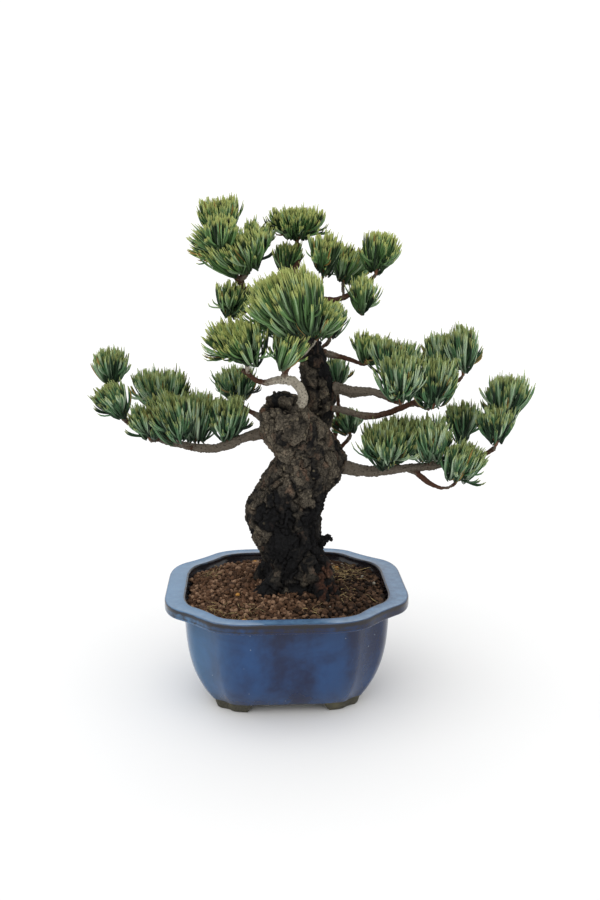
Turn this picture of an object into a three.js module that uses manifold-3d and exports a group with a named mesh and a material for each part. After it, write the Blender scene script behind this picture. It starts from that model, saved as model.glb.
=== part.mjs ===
// A white pine bonsai in a glazed, lobed pot. Millimetres, +Z up.
// The pot stands on its four feet at z = 0 and the middle of the whole model's box is over the origin.
// While it is built, x and y run from the middle of the pot, and the tree's heights run up from the
// soil at the foot of the trunk.
import * as THREE from 'three';
import { LoftGeometry } from 'three/addons/geometries/LoftGeometry.js';
import { mergeVertices } from 'three/addons/utils/BufferGeometryUtils.js';
import Module from 'manifold-3d';

const wasm = await Module();
wasm.setup();

// ---- Pot ----
const POT_LENGTH = 210; // left to right over the rim
const POT_DEPTH = 176; // front to back over the rim
const POT_HEIGHT = 101; // table to the top of the rim
const FRONT_STRETCH = 112; // straight part of the rim's front edge
const SIDE_STRETCH = 92; // straight part of the rim's side edge
const CORNER_DIP = 2.3; // how far the middle of each cut corner dips in
const CORNER_CLOSING = 0.25; // how much the straight parts shorten for each mm that an outline moves in
const RIM_WIDTH = 17.5; // at the sides, from the outer edge to the opening
const RIM_WIDTH_FRONT = 12; // the same at the front and the back
const RIM_THICKNESS = 8.8;
const RIM_ROUNDING = 1.4;
const COVE_HEIGHT = 5.2; // hollow curve between the rim and the body
const RIM_OVERHANG = 16.5; // rim's edge out from the top of the body
const COVE_LIP = 0.8; // share of the overhang that is left where the cove has nearly reached the rim
const COVE_STEP = 0.15; // share of the cove's height that is left there
const COVE_END = 0.5; // share of the overhang that is left where the cove meets the rim
const BODY_TAPER = 2; // how far the body leans in from its top to its foot
const BELLY_TURN = 19; // how far the belly turns in at the foot, beyond the taper
const BELLY_POWER = 3; // how late the belly turns in
const WALL = 6;
const FLOOR = 8;
const FLOOR_FILLET = 4;
const FOOT_HEIGHT = 9;
const FOOT_GAP_FRONT = 61; // between the feet, along the front
const FOOT_GAP_SIDE = 36; // between the feet, along the side
const FOOT_CHAMFER = 5;
const FOOT_SET_IN = 0.3; // foot in from the edge of the pot's underside
const FOOT_FLARE = 4; // how far a foot leans in by the table
const FOOT_LEG = 15; // thickness of the bracket
const DRAIN_HOLE = 20; // diameter
const DRAIN_SPACING = 72; // between the two drain holes' middles

// ---- What the pot holds ----
const CLEARANCE = 0.3; // gap left between two pieces that touch
const SOIL_RECESS = 8; // rim down to the soil at the wall
const SOIL_MOUND = 8; // rise of the soil from the wall to the trunk
const GRIT_DEPTH = 10;
const SCREEN_PITCH = 6.4;
const SCREEN_BAR = 1.6;
const SCREEN_THICKNESS = 1.2;
const SCREEN_CELLS = 5; // openings along each side of a screen
const CLIP_WIRE = 1.5; // diameter
const CLIP_ARM = 11; // bent arm of the wire under the floor

// ---- Tree ----
const TREE_HEIGHT = 328; // soil to the top needles
const DRAWN_HEIGHT = 328; // the height that the lists of points below are drawn at
const TRUNK_GIRTH = 1; // thickens or thins the trunk's sections
const TWIG_DIAMETER = 3.2; // where a needle cluster begins
const TWIG_SWELL = 1.5; // twig's width at its branch, over its width at the needles
const TWIG_SLANT = 0.7; // how far back along its branch a twig begins, over its reach
const TWIG_BEND = 0.4; // how far a twig keeps its direction at each end, over its length
const STEM_SPOTS = 60; // places along a branch where a twig may begin
const TRUNK_SIDES = 18;
const BRANCH_SIDES = 6;
const RINGS_PER_POINT = 1.5; // along a branch
const TWIG_SIDES = 5;
const CLUSTER_SIDES = 8;

const FLATNESS = 0.01; // edges that stand out less than this are dropped

const soilAtWall = POT_HEIGHT - SOIL_RECESS;
const soilTop = soilAtWall + SOIL_MOUND;
const floorTop = FOOT_HEIGHT + FLOOR;
const bodyTop = POT_HEIGHT - RIM_THICKNESS - COVE_HEIGHT;
const screenBottom = floorTop + CLEARANCE;
const screenTop = screenBottom + SCREEN_THICKNESS;
const gritTop = floorTop + GRIT_DEPTH;

// ---- Trunk ----
// Each level section of the main trunk: middle x, y, height over the soil, half width, half depth.
const TRUNK_SECTIONS = [
  [12, 0, -34, 22, 20], [12, -1, -16, 33, 29], [12, -1, -4, 31, 28], [11, -1, 8, 27, 25],
  [8, 0, 21, 26, 25], [4, 1, 33, 27, 26], [-1, 2, 47, 29, 28], [-3, 1, 62, 32, 29],
  [1, 0, 77, 33, 29], [8, -1, 89, 31, 28], [14, -1, 98, 33, 29], [18, -2, 107, 32, 29],
  [21, -3, 115, 29, 28], [17, -4, 123, 29, 28], [12, -7, 130, 30, 27], [8, -10, 137, 30, 27],
  [6, -12, 144, 28, 26], [3, -13, 151, 24, 24], [-1, -14, 158, 20, 21], [-2, -14, 164, 17, 17],
  [-2, -14, 169, 12, 12], [-2, -14, 172, 5, 5],
];
// Where the tree goes on from behind the main trunk's shoulder: x, y, height, radius.
const UPPER_TRUNK = [
  [18, 5, 112, 12], [24, 13, 134, 13.5], [29, 16, 152, 13.5], [30, 16, 166, 14.2], [28, 16, 179, 13.2],
  [25, 14, 192, 11], [22, 11, 208, 8.8], [19, 11, 226, 7], [14, 13, 246, 5.2], [10, 17, 262, 4],
];
// Surface roots, dead stub and the roots that spread through the soil: x, y, height, radius.
const ROOTS = [
  [[17, -20, 30, 7], [25, -26, 12, 6], [32, -32, -6, 5], [40, -42, -22, 3.5]],
  [[28, -12, 26, 7], [35, -20, 6, 6.5], [42, -25, -9, 5], [58, -30, -24, 3.5]],
  [[-2, -14, 14, 10], [-14, -19, 3, 8], [-28, -22, -8, 5.5], [-50, -27, -24, 3.5]],
  [[-8, 8, 24, 10], [-17, 12, 4, 8.5], [-28, 18, -10, 6], [-52, 30, -26, 3.5]],
  [[12, 16, 20, 10], [14, 28, -2, 8], [16, 40, -18, 5], [22, 52, -32, 3.5]],
  [[30, 8, 14, 9], [38, 14, -4, 7], [50, 18, -18, 5], [66, 20, -30, 3.5]],
  [[20, -4, 37, 5], [32, -6, 41, 4.2], [39, -8, 45, 2.6]],
];

// ---- Branches ----
// Each stem: its points as x, y, height, with the radius at its start and its end.
const BRANCHES = {
  left_low: [
    { from: 6, to: 2, points: [[-6, -9, 141], [-34, -12, 136], [-56, -9, 126], [-81, -6, 127],
      [-102, -3, 132], [-123, -2, 140], [-140, 1, 156], [-146, 8, 175]] },
  ],
  front: [
    { from: 6, to: 2.2, points: [[0, -14, 154], [12, -24, 166], [13, -32, 177], [6, -38, 187],
      [-4, -42, 190], [-20, -37, 186], [-29, -33, 191], [-36, -30, 196]] },
    { from: 3.4, to: 2, points: [[-2, -41, 190], [-2, -45, 196], [2, -49, 203], [4, -50, 211],
      [2, -49, 219]] },
  ],
  right_low: [
    { from: 7.5, to: 2, points: [[30, -2, 113], [52, -7, 107], [67, -11, 105], [83, -16, 107],
      [98, -19, 109], [121, -16, 110], [150, -16, 114], [163, -16, 117], [178, -15, 124]] },
    { from: 3.4, to: 1.8, points: [[98, -19, 109], [110, -21, 105], [122, -24, 96], [134, -27, 93],
      [142, -27, 97]] },
  ],
  right_middle: [
    { from: 7.5, to: 2.2, points: [[28, 16, 166], [45, 12, 173], [55, 5, 171], [67, -1, 172],
      [78, -12, 172], [85, -24, 170], [91, -38, 169]] },
  ],
  right_slender: [
    { from: 4, to: 1.8, points: [[28, 12, 157], [44, 6, 156], [66, -7, 152], [78, -12, 153],
      [98, -19, 162], [122, -14, 171], [138, -11, 176], [147, -10, 184]] },
  ],
  back_right: [
    { from: 6, to: 2, points: [[20, 10, 110], [34, 27, 110], [48, 37, 112], [57, 41, 119]] },
    { from: 3.4, to: 2, points: [[38, 30, 111], [46, 41, 124], [50, 47, 142], [49, 48, 158]] },
  ],
  back_left: [
    { from: 6, to: 2, points: [[0, 2, 142], [-16, 20, 144], [-28, 31, 148], [-38, 36, 154]] },
  ],
  back_high: [
    { from: 5, to: 2, points: [[25, 14, 192], [22, 34, 197], [15, 48, 203], [4, 56, 206]] },
    { from: 3, to: 2, points: [[21, 38, 199], [30, 50, 200], [40, 54, 206]] },
  ],
  crown_right: [
    { from: 4.4, to: 2, points: [[22, 11, 210], [34, 14, 203], [48, 17, 199], [58, 17, 196], [68, 16, 192]] },
    { from: 3.4, to: 1.8, points: [[26, 11, 208], [36, 7, 214], [49, 5, 217], [57, 6, 224], [64, 7, 233]] },
  ],
  crown_shoulder: [
    { from: 3.6, to: 1.8, points: [[14, 13, 246], [30, 12, 248], [46, 14, 248], [55, 15, 252], [66, 15, 260],
      [75, 15, 266]] },
  ],
  crown_left: [
    { from: 4.4, to: 1.8, points: [[18, 11, 232], [0, 8, 241], [-16, 5, 246], [-27, 1, 252], [-36, -4, 262],
      [-42, -4, 276]] },
  ],
  crown_leader: [
    { from: 3.6, to: 2, points: [[10, 17, 261], [9, 20, 271], [13, 22, 281], [12, 24, 294]] },
  ],
};

// ---- Needle clusters ----
// Each cluster: the branch that bears it, where its needles begin, the middle of their tips, half width,
// and for a cluster of several shoots its half depth and how far its width turns from x, in degrees.
const CLUSTERS = {
  left_tip: ['left_low', [-146, 8, 179], [-146, 8, 207], 14],
  left_tip_low: ['left_low', [-136, -8, 153], [-149, -10, 178], 15],
  left_back: ['left_low', [-107, 28, 152], [-109, 33, 184], 25, 14, -42],
  left_outer: ['left_low', [-113, -19, 138], [-117, -29, 165], 12],
  left_front: ['left_low', [-88, -25, 136], [-96, -40, 175], 16],
  left_middle: ['left_low', [-77, 4, 131], [-74, 9, 169], 17],
  left_inner: ['left_low', [-49, -13, 135], [-45, -20, 170], 15],
  front_left: ['front', [-32, -38, 202], [-43, -47, 234], 25, 14, -42],
  front_low: ['front', [-4, -52, 201], [1, -64, 228], 14],
  front_main: ['front', [1, -52, 223], [-1, -68, 267], 28, 17, -30],
  front_right: ['front', [24, -38, 222], [33, -44, 250], 12],
  right_inner: ['right_low', [89, -19, 113], [84, -26, 148], 27, 16, 40],
  right_front: ['right_low', [121, -21, 116], [119, -26, 152], 18],
  right_back: ['right_low', [157, 12, 124], [156, 20, 156], 14],
  right_low: ['right_low', [143, -27, 100], [150, -38, 131], 16],
  right_outer: ['right_low', [176, -22, 130], [174, -28, 160], 14],
  right_tip: ['right_low', [188, -4, 146], [191, 2, 182], 17],
  middle_front: ['right_middle', [91, -43, 171], [89, -54, 208], 16],
  middle_inner: ['right_middle', [93, 2, 182], [96, 11, 211], 25, 13, 42],
  middle_outer: ['right_slender', [119, -34, 165], [119, -45, 204], 16],
  middle_back: ['right_slender', [133, 6, 186], [134, 13, 217], 15],
  middle_tip: ['right_slender', [149, -9, 188], [148, -8, 226], 12],
  back_right_low: ['back_right', [60, 42, 126], [57, 46, 146], 11],
  back_right_high: ['back_right', [48, 49, 168], [47, 58, 190], 12],
  back_left: ['back_left', [-40, 37, 158], [-44, 38, 186], 16],
  back_high: ['back_high', [-1, 59, 210], [-6, 66, 242], 17],
  back_high_right: ['back_high', [42, 55, 211], [45, 62, 240], 14],
  crown_low_right: ['crown_right', [71, 16, 194], [74, 17, 218], 11],
  crown_mid_right: ['crown_right', [65, 7, 237], [67, 4, 264], 13],
  crown_inner_right: ['crown_shoulder', [32, 8, 268], [34, 6, 300], 12],
  crown_back_right: ['crown_shoulder', [52, 34, 261], [61, 40, 287], 17, 11, 35],
  crown_tip_right: ['crown_shoulder', [77, 15, 270], [82, 14, 301], 14],
  crown_mid_left: ['crown_left', [-45, -3, 236], [-46, -6, 263], 12],
  crown_front_left: ['crown_left', [-31, -11, 272], [-33, -16, 300], 24, 13, -16],
  crown_side_left: ['crown_left', [-53, 3, 284], [-72, 4, 303], 10],
  crown_outer_left: ['crown_left', [-47, -16, 286], [-51, -24, 312], 13],
  crown_top_left: ['crown_left', [-51, 9, 300], [-53, 4, 328], 16],
  crown_back_left: ['crown_left', [-25, 16, 287], [-18, 21, 310], 11],
  crown_middle: ['crown_leader', [3, 26, 270], [3, 27, 293], 10],
  crown_top: ['crown_leader', [11, 24, 297], [11, 21, 321], 20, 14, 0],
};
// How a cluster widens: distance along it and share of its half width there.
const CLUSTER_PROFILE = [[0, 0.17], [0.2, 0.52], [0.5, 0.86], [0.78, 1], [0.94, 0.76], [1, 0.4]];

// ---- Solids ----
// A closed geometry as a solid that can be joined and cut.
function solidOf(geometry) {
  const bare = new THREE.BufferGeometry();
  bare.setAttribute('position', geometry.getAttribute('position'));
  bare.setIndex(geometry.index);
  const merged = mergeVertices(bare, 1e-4);
  const triangles = [];
  for (let i = 0; i < merged.index.count; i += 3) {
    const [a, b, c] = [0, 1, 2].map((corner) => merged.index.getX(i + corner));
    if (a !== b && b !== c && c !== a) triangles.push(a, b, c);
  }
  return new wasm.Manifold(new wasm.Mesh({
    numProp: 3,
    vertProperties: merged.getAttribute('position').array,
    triVerts: Uint32Array.from(triangles),
  }));
}

// A solid through sections with the same number of points, its ends closed to their middles.
function loft(sections) {
  const pinched = (section) => {
    const middle = section.reduce((sum, point) => sum.add(point), new THREE.Vector3());
    return section.map(() => middle.clone().divideScalar(section.length));
  };
  return solidOf(new LoftGeometry([pinched(sections[0]), ...sections, pinched(sections.at(-1))]));
}

const joined = (solids) => solids.reduce((whole, solid) => whole.add(solid));

// The largest body of a solid, without the crumbs that a cut leaves.
const mainBody = (solid) => solid.decompose().reduce((a, b) => (a.volume() > b.volume() ? a : b));

function meshOf(name, solid, color, roughness) {
  const { vertProperties, triVerts } = mainBody(solid).asOriginal().simplify(FLATNESS).getMesh();
  const geometry = new THREE.BufferGeometry();
  geometry.setAttribute('position', new THREE.BufferAttribute(vertProperties, 3));
  geometry.setIndex(new THREE.BufferAttribute(triVerts, 1));
  geometry.computeVertexNormals();
  const mesh = new THREE.Mesh(geometry, new THREE.MeshStandardMaterial({ color, roughness, metalness: 0 }));
  mesh.name = name;
  return mesh;
}

// A ring of points round a middle, counter-clockwise seen against the direction of travel.
function ring(middle, side, up, halfWidth, halfDepth, sides) {
  return Array.from({ length: sides }, (_, i) => {
    const angle = (i / sides) * 2 * Math.PI;
    return middle.clone()
      .addScaledVector(side, halfWidth * Math.cos(angle))
      .addScaledVector(up, halfDepth * Math.sin(angle));
  });
}

// A round stem along a curve, its radius a function of the distance along it from 0 to 1.
// grow widens it and lengthens its far end, to cut what lies against it.
function stem(curve, radiusAt, steps, sides, grow = 0) {
  const frames = curve.computeFrenetFrames(steps, false);
  const sections = [];
  for (let i = 0; i <= steps; i++) {
    const middle = curve.getPointAt(i / steps);
    if (i === steps) middle.addScaledVector(frames.tangents[i], grow);
    const radius = radiusAt(i / steps) + grow;
    sections.push(ring(middle, frames.normals[i], frames.binormals[i], radius, radius, sides));
  }
  return loft(sections);
}

// ---- Pot pieces ----
// Cuts every corner of a closed outline once.
const cutCorners = (points) => points.flatMap((point, i) => {
  const next = points[(i + 1) % points.length];
  return [point.clone().lerp(next, 0.25), point.clone().lerp(next, 0.75)];
});

// A closed outline without the points along its straight stretches.
const onlyTurns = (points) => points.filter((point, i) => {
  const before = points.at(i - 1).clone().sub(point);
  const after = points[(i + 1) % points.length].clone().sub(point);
  return before.angleTo(after) < Math.PI - 1e-3;
});

// The pot's lobed outline, moved in from the rim's outer edge, at one height. The front and the back may
// move in by another amount than the sides.
function outline(inset, z, frontInset = inset) {
  const x = POT_LENGTH / 2 - inset;
  const y = POT_DEPTH / 2 - frontInset;
  const flatX = FRONT_STRETCH / 2 - CORNER_CLOSING * inset;
  const flatY = SIDE_STRETCH / 2 - CORNER_CLOSING * inset;
  const dipX = (flatX + x) / 2 - CORNER_DIP;
  const dipY = (flatY + y) / 2 - CORNER_DIP;
  const quarter = [[x, 0], [x, flatY], [dipX, dipY], [flatX, y]];
  const corners = [
    ...quarter,
    ...[[0, y], [-flatX, y], [-dipX, dipY], [-x, flatY]],
    ...quarter.map(([px, py]) => [-px, -py]),
    ...[[0, -y], [flatX, -y], [dipX, -dipY], [x, -flatY]],
  ].map(([px, py]) => new THREE.Vector3(px, py, z));
  return onlyTurns(cutCorners(cutCorners(corners)));
}

// How far the body's outside is in from the rim's edge at a height.
function bodyInset(z) {
  const below = THREE.MathUtils.clamp((bodyTop - z) / (bodyTop - FOOT_HEIGHT), 0, 1);
  return RIM_OVERHANG + BODY_TAPER * below + BELLY_TURN * below ** BELLY_POWER;
}

// The same for the inside, which is the wall's thickness further in.
const insideInset = (z) => bodyInset(z - WALL / 2) + WALL;

// Heights between two levels, closer together near the lower one.
const heightsBetween = (low, high, steps) =>
  Array.from({ length: steps + 1 }, (_, i) => low + (high - low) * (i / steps) ** 1.6);

const drainHoles = [-DRAIN_SPACING / 2, DRAIN_SPACING / 2];

function upright(diameter, height, x, z, sides) {
  const geometry = new THREE.CylinderGeometry(diameter / 2, diameter / 2, height, sides);
  return solidOf(geometry.rotateX(Math.PI / 2).translate(x, 0, z));
}

// Two wedges with sloping inner ends, gap apart at the top, that leave the pot's feet between them.
function footEnds(gap, turn) {
  const far = POT_LENGTH;
  const top = FOOT_HEIGHT + FLOOR / 2;
  const slope = FOOT_CHAMFER / FOOT_HEIGHT;
  const ends = [1, -1].map((way) => {
    const shape = new THREE.Shape([
      new THREE.Vector2(way * (gap / 2 + FOOT_CHAMFER + slope), -1),
      new THREE.Vector2(way * far, -1),
      new THREE.Vector2(way * far, top),
      new THREE.Vector2(way * (gap / 2 + FOOT_CHAMFER - slope * top), top),
    ]);
    const wedge = new THREE.ExtrudeGeometry(shape, { depth: 2 * far, bevelEnabled: false });
    return solidOf(wedge.translate(0, 0, -far).rotateX(Math.PI / 2).rotateZ(turn));
  });
  return joined(ends);
}

function feet() {
  const edge = bodyInset(FOOT_HEIGHT) + FOOT_SET_IN;
  const block = loft([outline(edge + FOOT_FLARE, 0), outline(edge, FOOT_HEIGHT + FLOOR / 2)]);
  const inner = loft([outline(edge + FOOT_LEG, -1), outline(edge + FOOT_LEG, FOOT_HEIGHT)]);
  return block.subtract(inner).intersect(footEnds(FOOT_GAP_FRONT, 0))
    .intersect(footEnds(FOOT_GAP_SIDE, Math.PI / 2));
}

// The space inside the pot, or with a clearance, the most that fits in it.
function potInside(clear = 0) {
  const floor = floorTop + clear;
  const wall = (z) => outline(insideInset(z) + clear, z);
  const opening = (wider, z) => outline(RIM_WIDTH + clear - wider, z, RIM_WIDTH_FRONT + clear - wider);
  return loft([
    outline(insideInset(floor) + FLOOR_FILLET + clear, floor),
    ...heightsBetween(floorTop + FLOOR_FILLET / 2, bodyTop, 5).map(wall),
    opening(0, POT_HEIGHT - RIM_THICKNESS / 2),
    opening(0, POT_HEIGHT - RIM_ROUNDING),
    opening(RIM_ROUNDING, POT_HEIGHT),
    opening(RIM_ROUNDING, POT_HEIGHT + 1),
  ]);
}

function pot() {
  const rimBottom = POT_HEIGHT - RIM_THICKNESS;
  const body = loft([
    ...heightsBetween(FOOT_HEIGHT, bodyTop, 7).map((z) => outline(bodyInset(z), z)),
    outline(RIM_OVERHANG * COVE_LIP, rimBottom - COVE_HEIGHT * COVE_STEP),
    outline(RIM_OVERHANG * COVE_END, rimBottom),
    outline(RIM_ROUNDING, rimBottom),
    outline(0, rimBottom + RIM_ROUNDING),
    outline(0, POT_HEIGHT - RIM_ROUNDING),
    outline(RIM_ROUNDING, POT_HEIGHT),
  ]);
  const holes = drainHoles.map((x) => upright(DRAIN_HOLE, FLOOR * 3, x, FOOT_HEIGHT, 20));
  return body.subtract(potInside()).add(feet()).subtract(joined(holes));
}

const screenSize = SCREEN_CELLS * SCREEN_PITCH + SCREEN_BAR;

function screenPlate(x, grow = 0) {
  const size = screenSize + 2 * grow;
  const plate = new THREE.BoxGeometry(size, size, SCREEN_THICKNESS + 2 * grow);
  return solidOf(plate.translate(x, 0, screenBottom + SCREEN_THICKNESS / 2));
}

// A square of plastic mesh that lies over a drain hole: a plate with a grid of openings.
function drainScreen(x) {
  const cell = SCREEN_PITCH - SCREEN_BAR;
  const steps = Array.from({ length: SCREEN_CELLS }, (_, i) => (i - (SCREEN_CELLS - 1) / 2) * SCREEN_PITCH);
  const openings = steps.flatMap((across) => steps.map((along) =>
    solidOf(new THREE.BoxGeometry(cell, cell, FLOOR).translate(x + across, along, screenBottom))));
  return screenPlate(x).subtract(joined(openings));
}

// A wire staple over the screen, its legs down through the hole and its arms bent out under the floor.
function screenClip(x, grow = 0) {
  const radius = CLIP_WIRE / 2;
  const bridge = screenTop + CLEARANCE + radius;
  const under = FOOT_HEIGHT - CLEARANCE - radius;
  const route = new THREE.CurvePath();
  const points = [[-1, CLIP_ARM, under], [-1, 0, under], [-1, 0, bridge], [1, 0, bridge], [1, 0, under],
    [1, CLIP_ARM, under]].map(([side, arm, z]) => new THREE.Vector3(x, side * (SCREEN_PITCH + arm), z));
  points.slice(1).forEach((point, i) => route.add(new THREE.LineCurve3(points[i], point)));
  const sides = points.slice(1).map((point, i) => {
    const along = point.clone().sub(points[i]).setLength(radius + grow);
    const line = new THREE.LineCurve3(points[i].clone().sub(along), point.clone().add(along));
    return stem(line, () => radius, 1, 8, grow);
  });
  return joined(sides);
}

// Grit over the floor of the pot, and the soil over the grit, each clear of the wall.
const drainageLayer = () => potInside(CLEARANCE).trimByPlane([0, 0, -1], -gritTop);

function soilBed() {
  const level = (share, rise) => outline(RIM_WIDTH, soilAtWall + SOIL_MOUND * rise, RIM_WIDTH_FRONT)
    .map((point) => new THREE.Vector3(point.x * share, point.y * share, point.z));
  const mound = loft([outline(0, gritTop + CLEARANCE), outline(0, soilAtWall), level(0.82, 0.2),
    level(0.64, 0.42), level(0.42, 0.78), level(0.2, 1)]);
  return potInside(CLEARANCE).intersect(mound);
}

// ---- Tree pieces ----
const scale = TREE_HEIGHT / DRAWN_HEIGHT;
const place = ([x, y, z]) => new THREE.Vector3(x * scale, y * scale, soilTop + z * scale);

// A curve through listed points, and the radius along it read between the listed radii.
function taperedStem(points, radii, steps, sides, grow) {
  const curve = new THREE.CatmullRomCurve3(points, false, 'centripetal');
  const radiusAt = (along) => {
    const spot = along * (radii.length - 1);
    const before = Math.min(Math.floor(spot), radii.length - 2);
    return THREE.MathUtils.lerp(radii[before], radii[before + 1], spot - before);
  };
  return stem(curve, radiusAt, steps, sides, grow);
}

function listedStem(list, steps, sides, grow) {
  const radii = list.map((point) => point[3] * scale * TRUNK_GIRTH);
  return taperedStem(list.map(place), radii, steps, sides, grow);
}

// The trunk's sections wander a little from true ellipses, as old wood does.
function mainTrunk(grow) {
  const sections = TRUNK_SECTIONS.map(([x, y, z, halfWidth, halfDepth]) => {
    const middle = place([x, y, z]);
    return Array.from({ length: TRUNK_SIDES }, (_, i) => {
      const angle = (i / TRUNK_SIDES) * 2 * Math.PI;
      const wander = 1 + 0.035 * Math.sin(3 * angle + z / 17) + 0.03 * Math.sin(5 * angle - z / 11);
      const reach = scale * TRUNK_GIRTH * wander;
      return new THREE.Vector3(
        middle.x + (halfWidth * reach + grow) * Math.cos(angle),
        middle.y + (halfDepth * reach + grow) * Math.sin(angle),
        middle.z,
      );
    });
  });
  return loft(sections);
}

const trunk = (grow = 0) => joined([
  mainTrunk(grow),
  listedStem(UPPER_TRUNK, 12, 10, grow),
  ...ROOTS.map((root) => listedStem(root, 5, 7, grow)),
]);

const branchCurve = ({ points }) => new THREE.CatmullRomCurve3(points.map(place), false, 'centripetal');

// The twig that leaves the nearest stem of a branch a little before a cluster and curves up into it.
function twig(stems, base, tip, grow) {
  const spots = stems.flatMap((curve) => curve.getSpacedPoints(STEM_SPOTS)
    .map((point, i) => ({ curve, point, along: i / STEM_SPOTS })));
  const nearest = spots.reduce((a, b) => (a.point.distanceTo(base) < b.point.distanceTo(base) ? a : b));
  const reach = nearest.point.distanceTo(base);
  const back = Math.max(nearest.along - (TWIG_SLANT * reach) / nearest.curve.getLength(), 0);
  const start = nearest.curve.getPointAt(back);
  const bend = start.distanceTo(base) * TWIG_BEND;
  const axis = tip.clone().sub(base).normalize();
  const curve = new THREE.CubicBezierCurve3(
    start,
    start.clone().addScaledVector(nearest.curve.getTangentAt(back), bend),
    base.clone().addScaledVector(axis, -bend),
    base,
  );
  const end = TWIG_DIAMETER / 2;
  return stem(curve, (along) => end * THREE.MathUtils.lerp(TWIG_SWELL, 1, along), 4, TWIG_SIDES, grow);
}

function branch(name, grow = 0) {
  const stems = BRANCHES[name];
  const curves = stems.map(branchCurve);
  const wood = stems.map(({ from, to, points }) =>
    taperedStem(points.map(place), [from * scale, to * scale], Math.round(points.length * RINGS_PER_POINT),
      BRANCH_SIDES, grow));
  const twigs = Object.values(CLUSTERS)
    .filter(([bearer]) => bearer === name)
    .map(([, base, tip]) => twig(curves, place(base), place(tip), grow));
  return joined([...wood, ...twigs]);
}

// A brush of needles as one envelope, narrow where it begins and rounded over at the tips.
function needleCluster([, base, tip, halfWidth, halfDepth = halfWidth, turn = 0]) {
  const foot = place(base);
  const axis = place(tip).sub(foot);
  const direction = axis.clone().normalize();
  const side = new THREE.Vector3(1, 0, 0).projectOnPlane(direction).normalize()
    .applyAxisAngle(direction, THREE.MathUtils.degToRad(turn));
  const up = direction.clone().cross(side);
  return loft(CLUSTER_PROFILE.map(([along, share]) => ring(
    foot.clone().addScaledVector(axis, along), side, up,
    halfWidth * scale * share, halfDepth * scale * share, CLUSTER_SIDES,
  )));
}

const middleOf = (solid) => {
  const { min, max } = solid.boundingBox();
  return new THREE.Vector3(...min).add(new THREE.Vector3(...max)).multiplyScalar(0.5);
};

// Where two clusters grow into each other, each stops at a plane between them.
function parted(clusters) {
  for (let i = 0; i < clusters.length; i++) {
    for (let j = i + 1; j < clusters.length; j++) {
      const overlap = clusters[i].intersect(clusters[j]);
      if (overlap.isEmpty()) continue;
      const across = middleOf(clusters[j]).sub(middleOf(clusters[i])).normalize();
      const split = across.dot(middleOf(overlap));
      clusters[i] = clusters[i].trimByPlane(across.clone().negate().toArray(), CLEARANCE / 2 - split);
      clusters[j] = clusters[j].trimByPlane(across.toArray(), split + CLEARANCE / 2);
    }
  }
  return clusters;
}

// ---- The model ----
const model = new THREE.Group();

const potGroup = new THREE.Group();
potGroup.add(meshOf('pot', pot(), 0x2f5f96, 0.2));
const trunkGrown = trunk(CLEARANCE);
const fittings = [];
drainHoles.forEach((x, i) => {
  const side = ['left', 'right'][i];
  potGroup.add(meshOf(`drain_screen_${side}`, drainScreen(x), 0x23262a, 0.6));
  potGroup.add(meshOf(`screen_clip_${side}`, screenClip(x), 0x9a6a45, 0.35));
  fittings.push(screenPlate(x, CLEARANCE), screenClip(x, CLEARANCE));
});
const grit = drainageLayer().subtract(joined(fittings)).subtract(trunkGrown);
potGroup.add(meshOf('drainage_layer', grit, 0x6d6258, 0.95));
potGroup.add(meshOf('soil', soilBed().subtract(trunkGrown), 0x5b3a28, 0.95));

const treeGroup = new THREE.Group();
treeGroup.add(meshOf('trunk', trunk(), 0x3d3029, 0.9));
let wood = trunkGrown;
for (const name of Object.keys(BRANCHES)) {
  treeGroup.add(meshOf(`branch_${name}`, branch(name).subtract(wood), 0x6f6557, 0.85));
  wood = wood.add(branch(name, CLEARANCE));
}
const names = Object.keys(CLUSTERS);
parted(names.map((name) => needleCluster(CLUSTERS[name]))).forEach((cluster, i) => {
  treeGroup.add(meshOf(`needles_${names[i]}`, cluster.subtract(wood), 0x4c7a45, 0.6));
});

model.add(potGroup, treeGroup);
const box = new THREE.Box3().setFromObject(model);
const middle = box.getCenter(new THREE.Vector3());
model.position.set(-middle.x, -middle.y, -box.min.z);

export default model;
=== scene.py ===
"""Dresses the potted pine: glazed pot, potting soil, plated bark, branches and brushes of needles.

Every piece is built round its own solid in the loaded frame, in metres, with +Z up.
"""

import math

import bmesh
import bpy
import numpy as np
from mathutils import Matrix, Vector, kdtree, noise


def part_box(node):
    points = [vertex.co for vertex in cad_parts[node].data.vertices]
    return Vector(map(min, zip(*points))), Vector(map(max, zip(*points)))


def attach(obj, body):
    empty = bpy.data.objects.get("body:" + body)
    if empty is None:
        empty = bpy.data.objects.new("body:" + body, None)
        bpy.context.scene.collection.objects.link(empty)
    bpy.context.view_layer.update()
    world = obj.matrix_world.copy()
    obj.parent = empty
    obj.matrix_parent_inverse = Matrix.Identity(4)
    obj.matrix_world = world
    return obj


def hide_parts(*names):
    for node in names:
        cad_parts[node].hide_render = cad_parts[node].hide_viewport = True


bl_info = {
    "name": "Potted Pine Bonsai",
    "version": (1, 0, 0),
    "blender": (4, 5, 0),
    "location": "3D View > Sidebar > Bonsai",
    "description": "Builds a small old pine in a glazed, lobed pot round its solid frame",
    "category": "Object",
}

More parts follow.
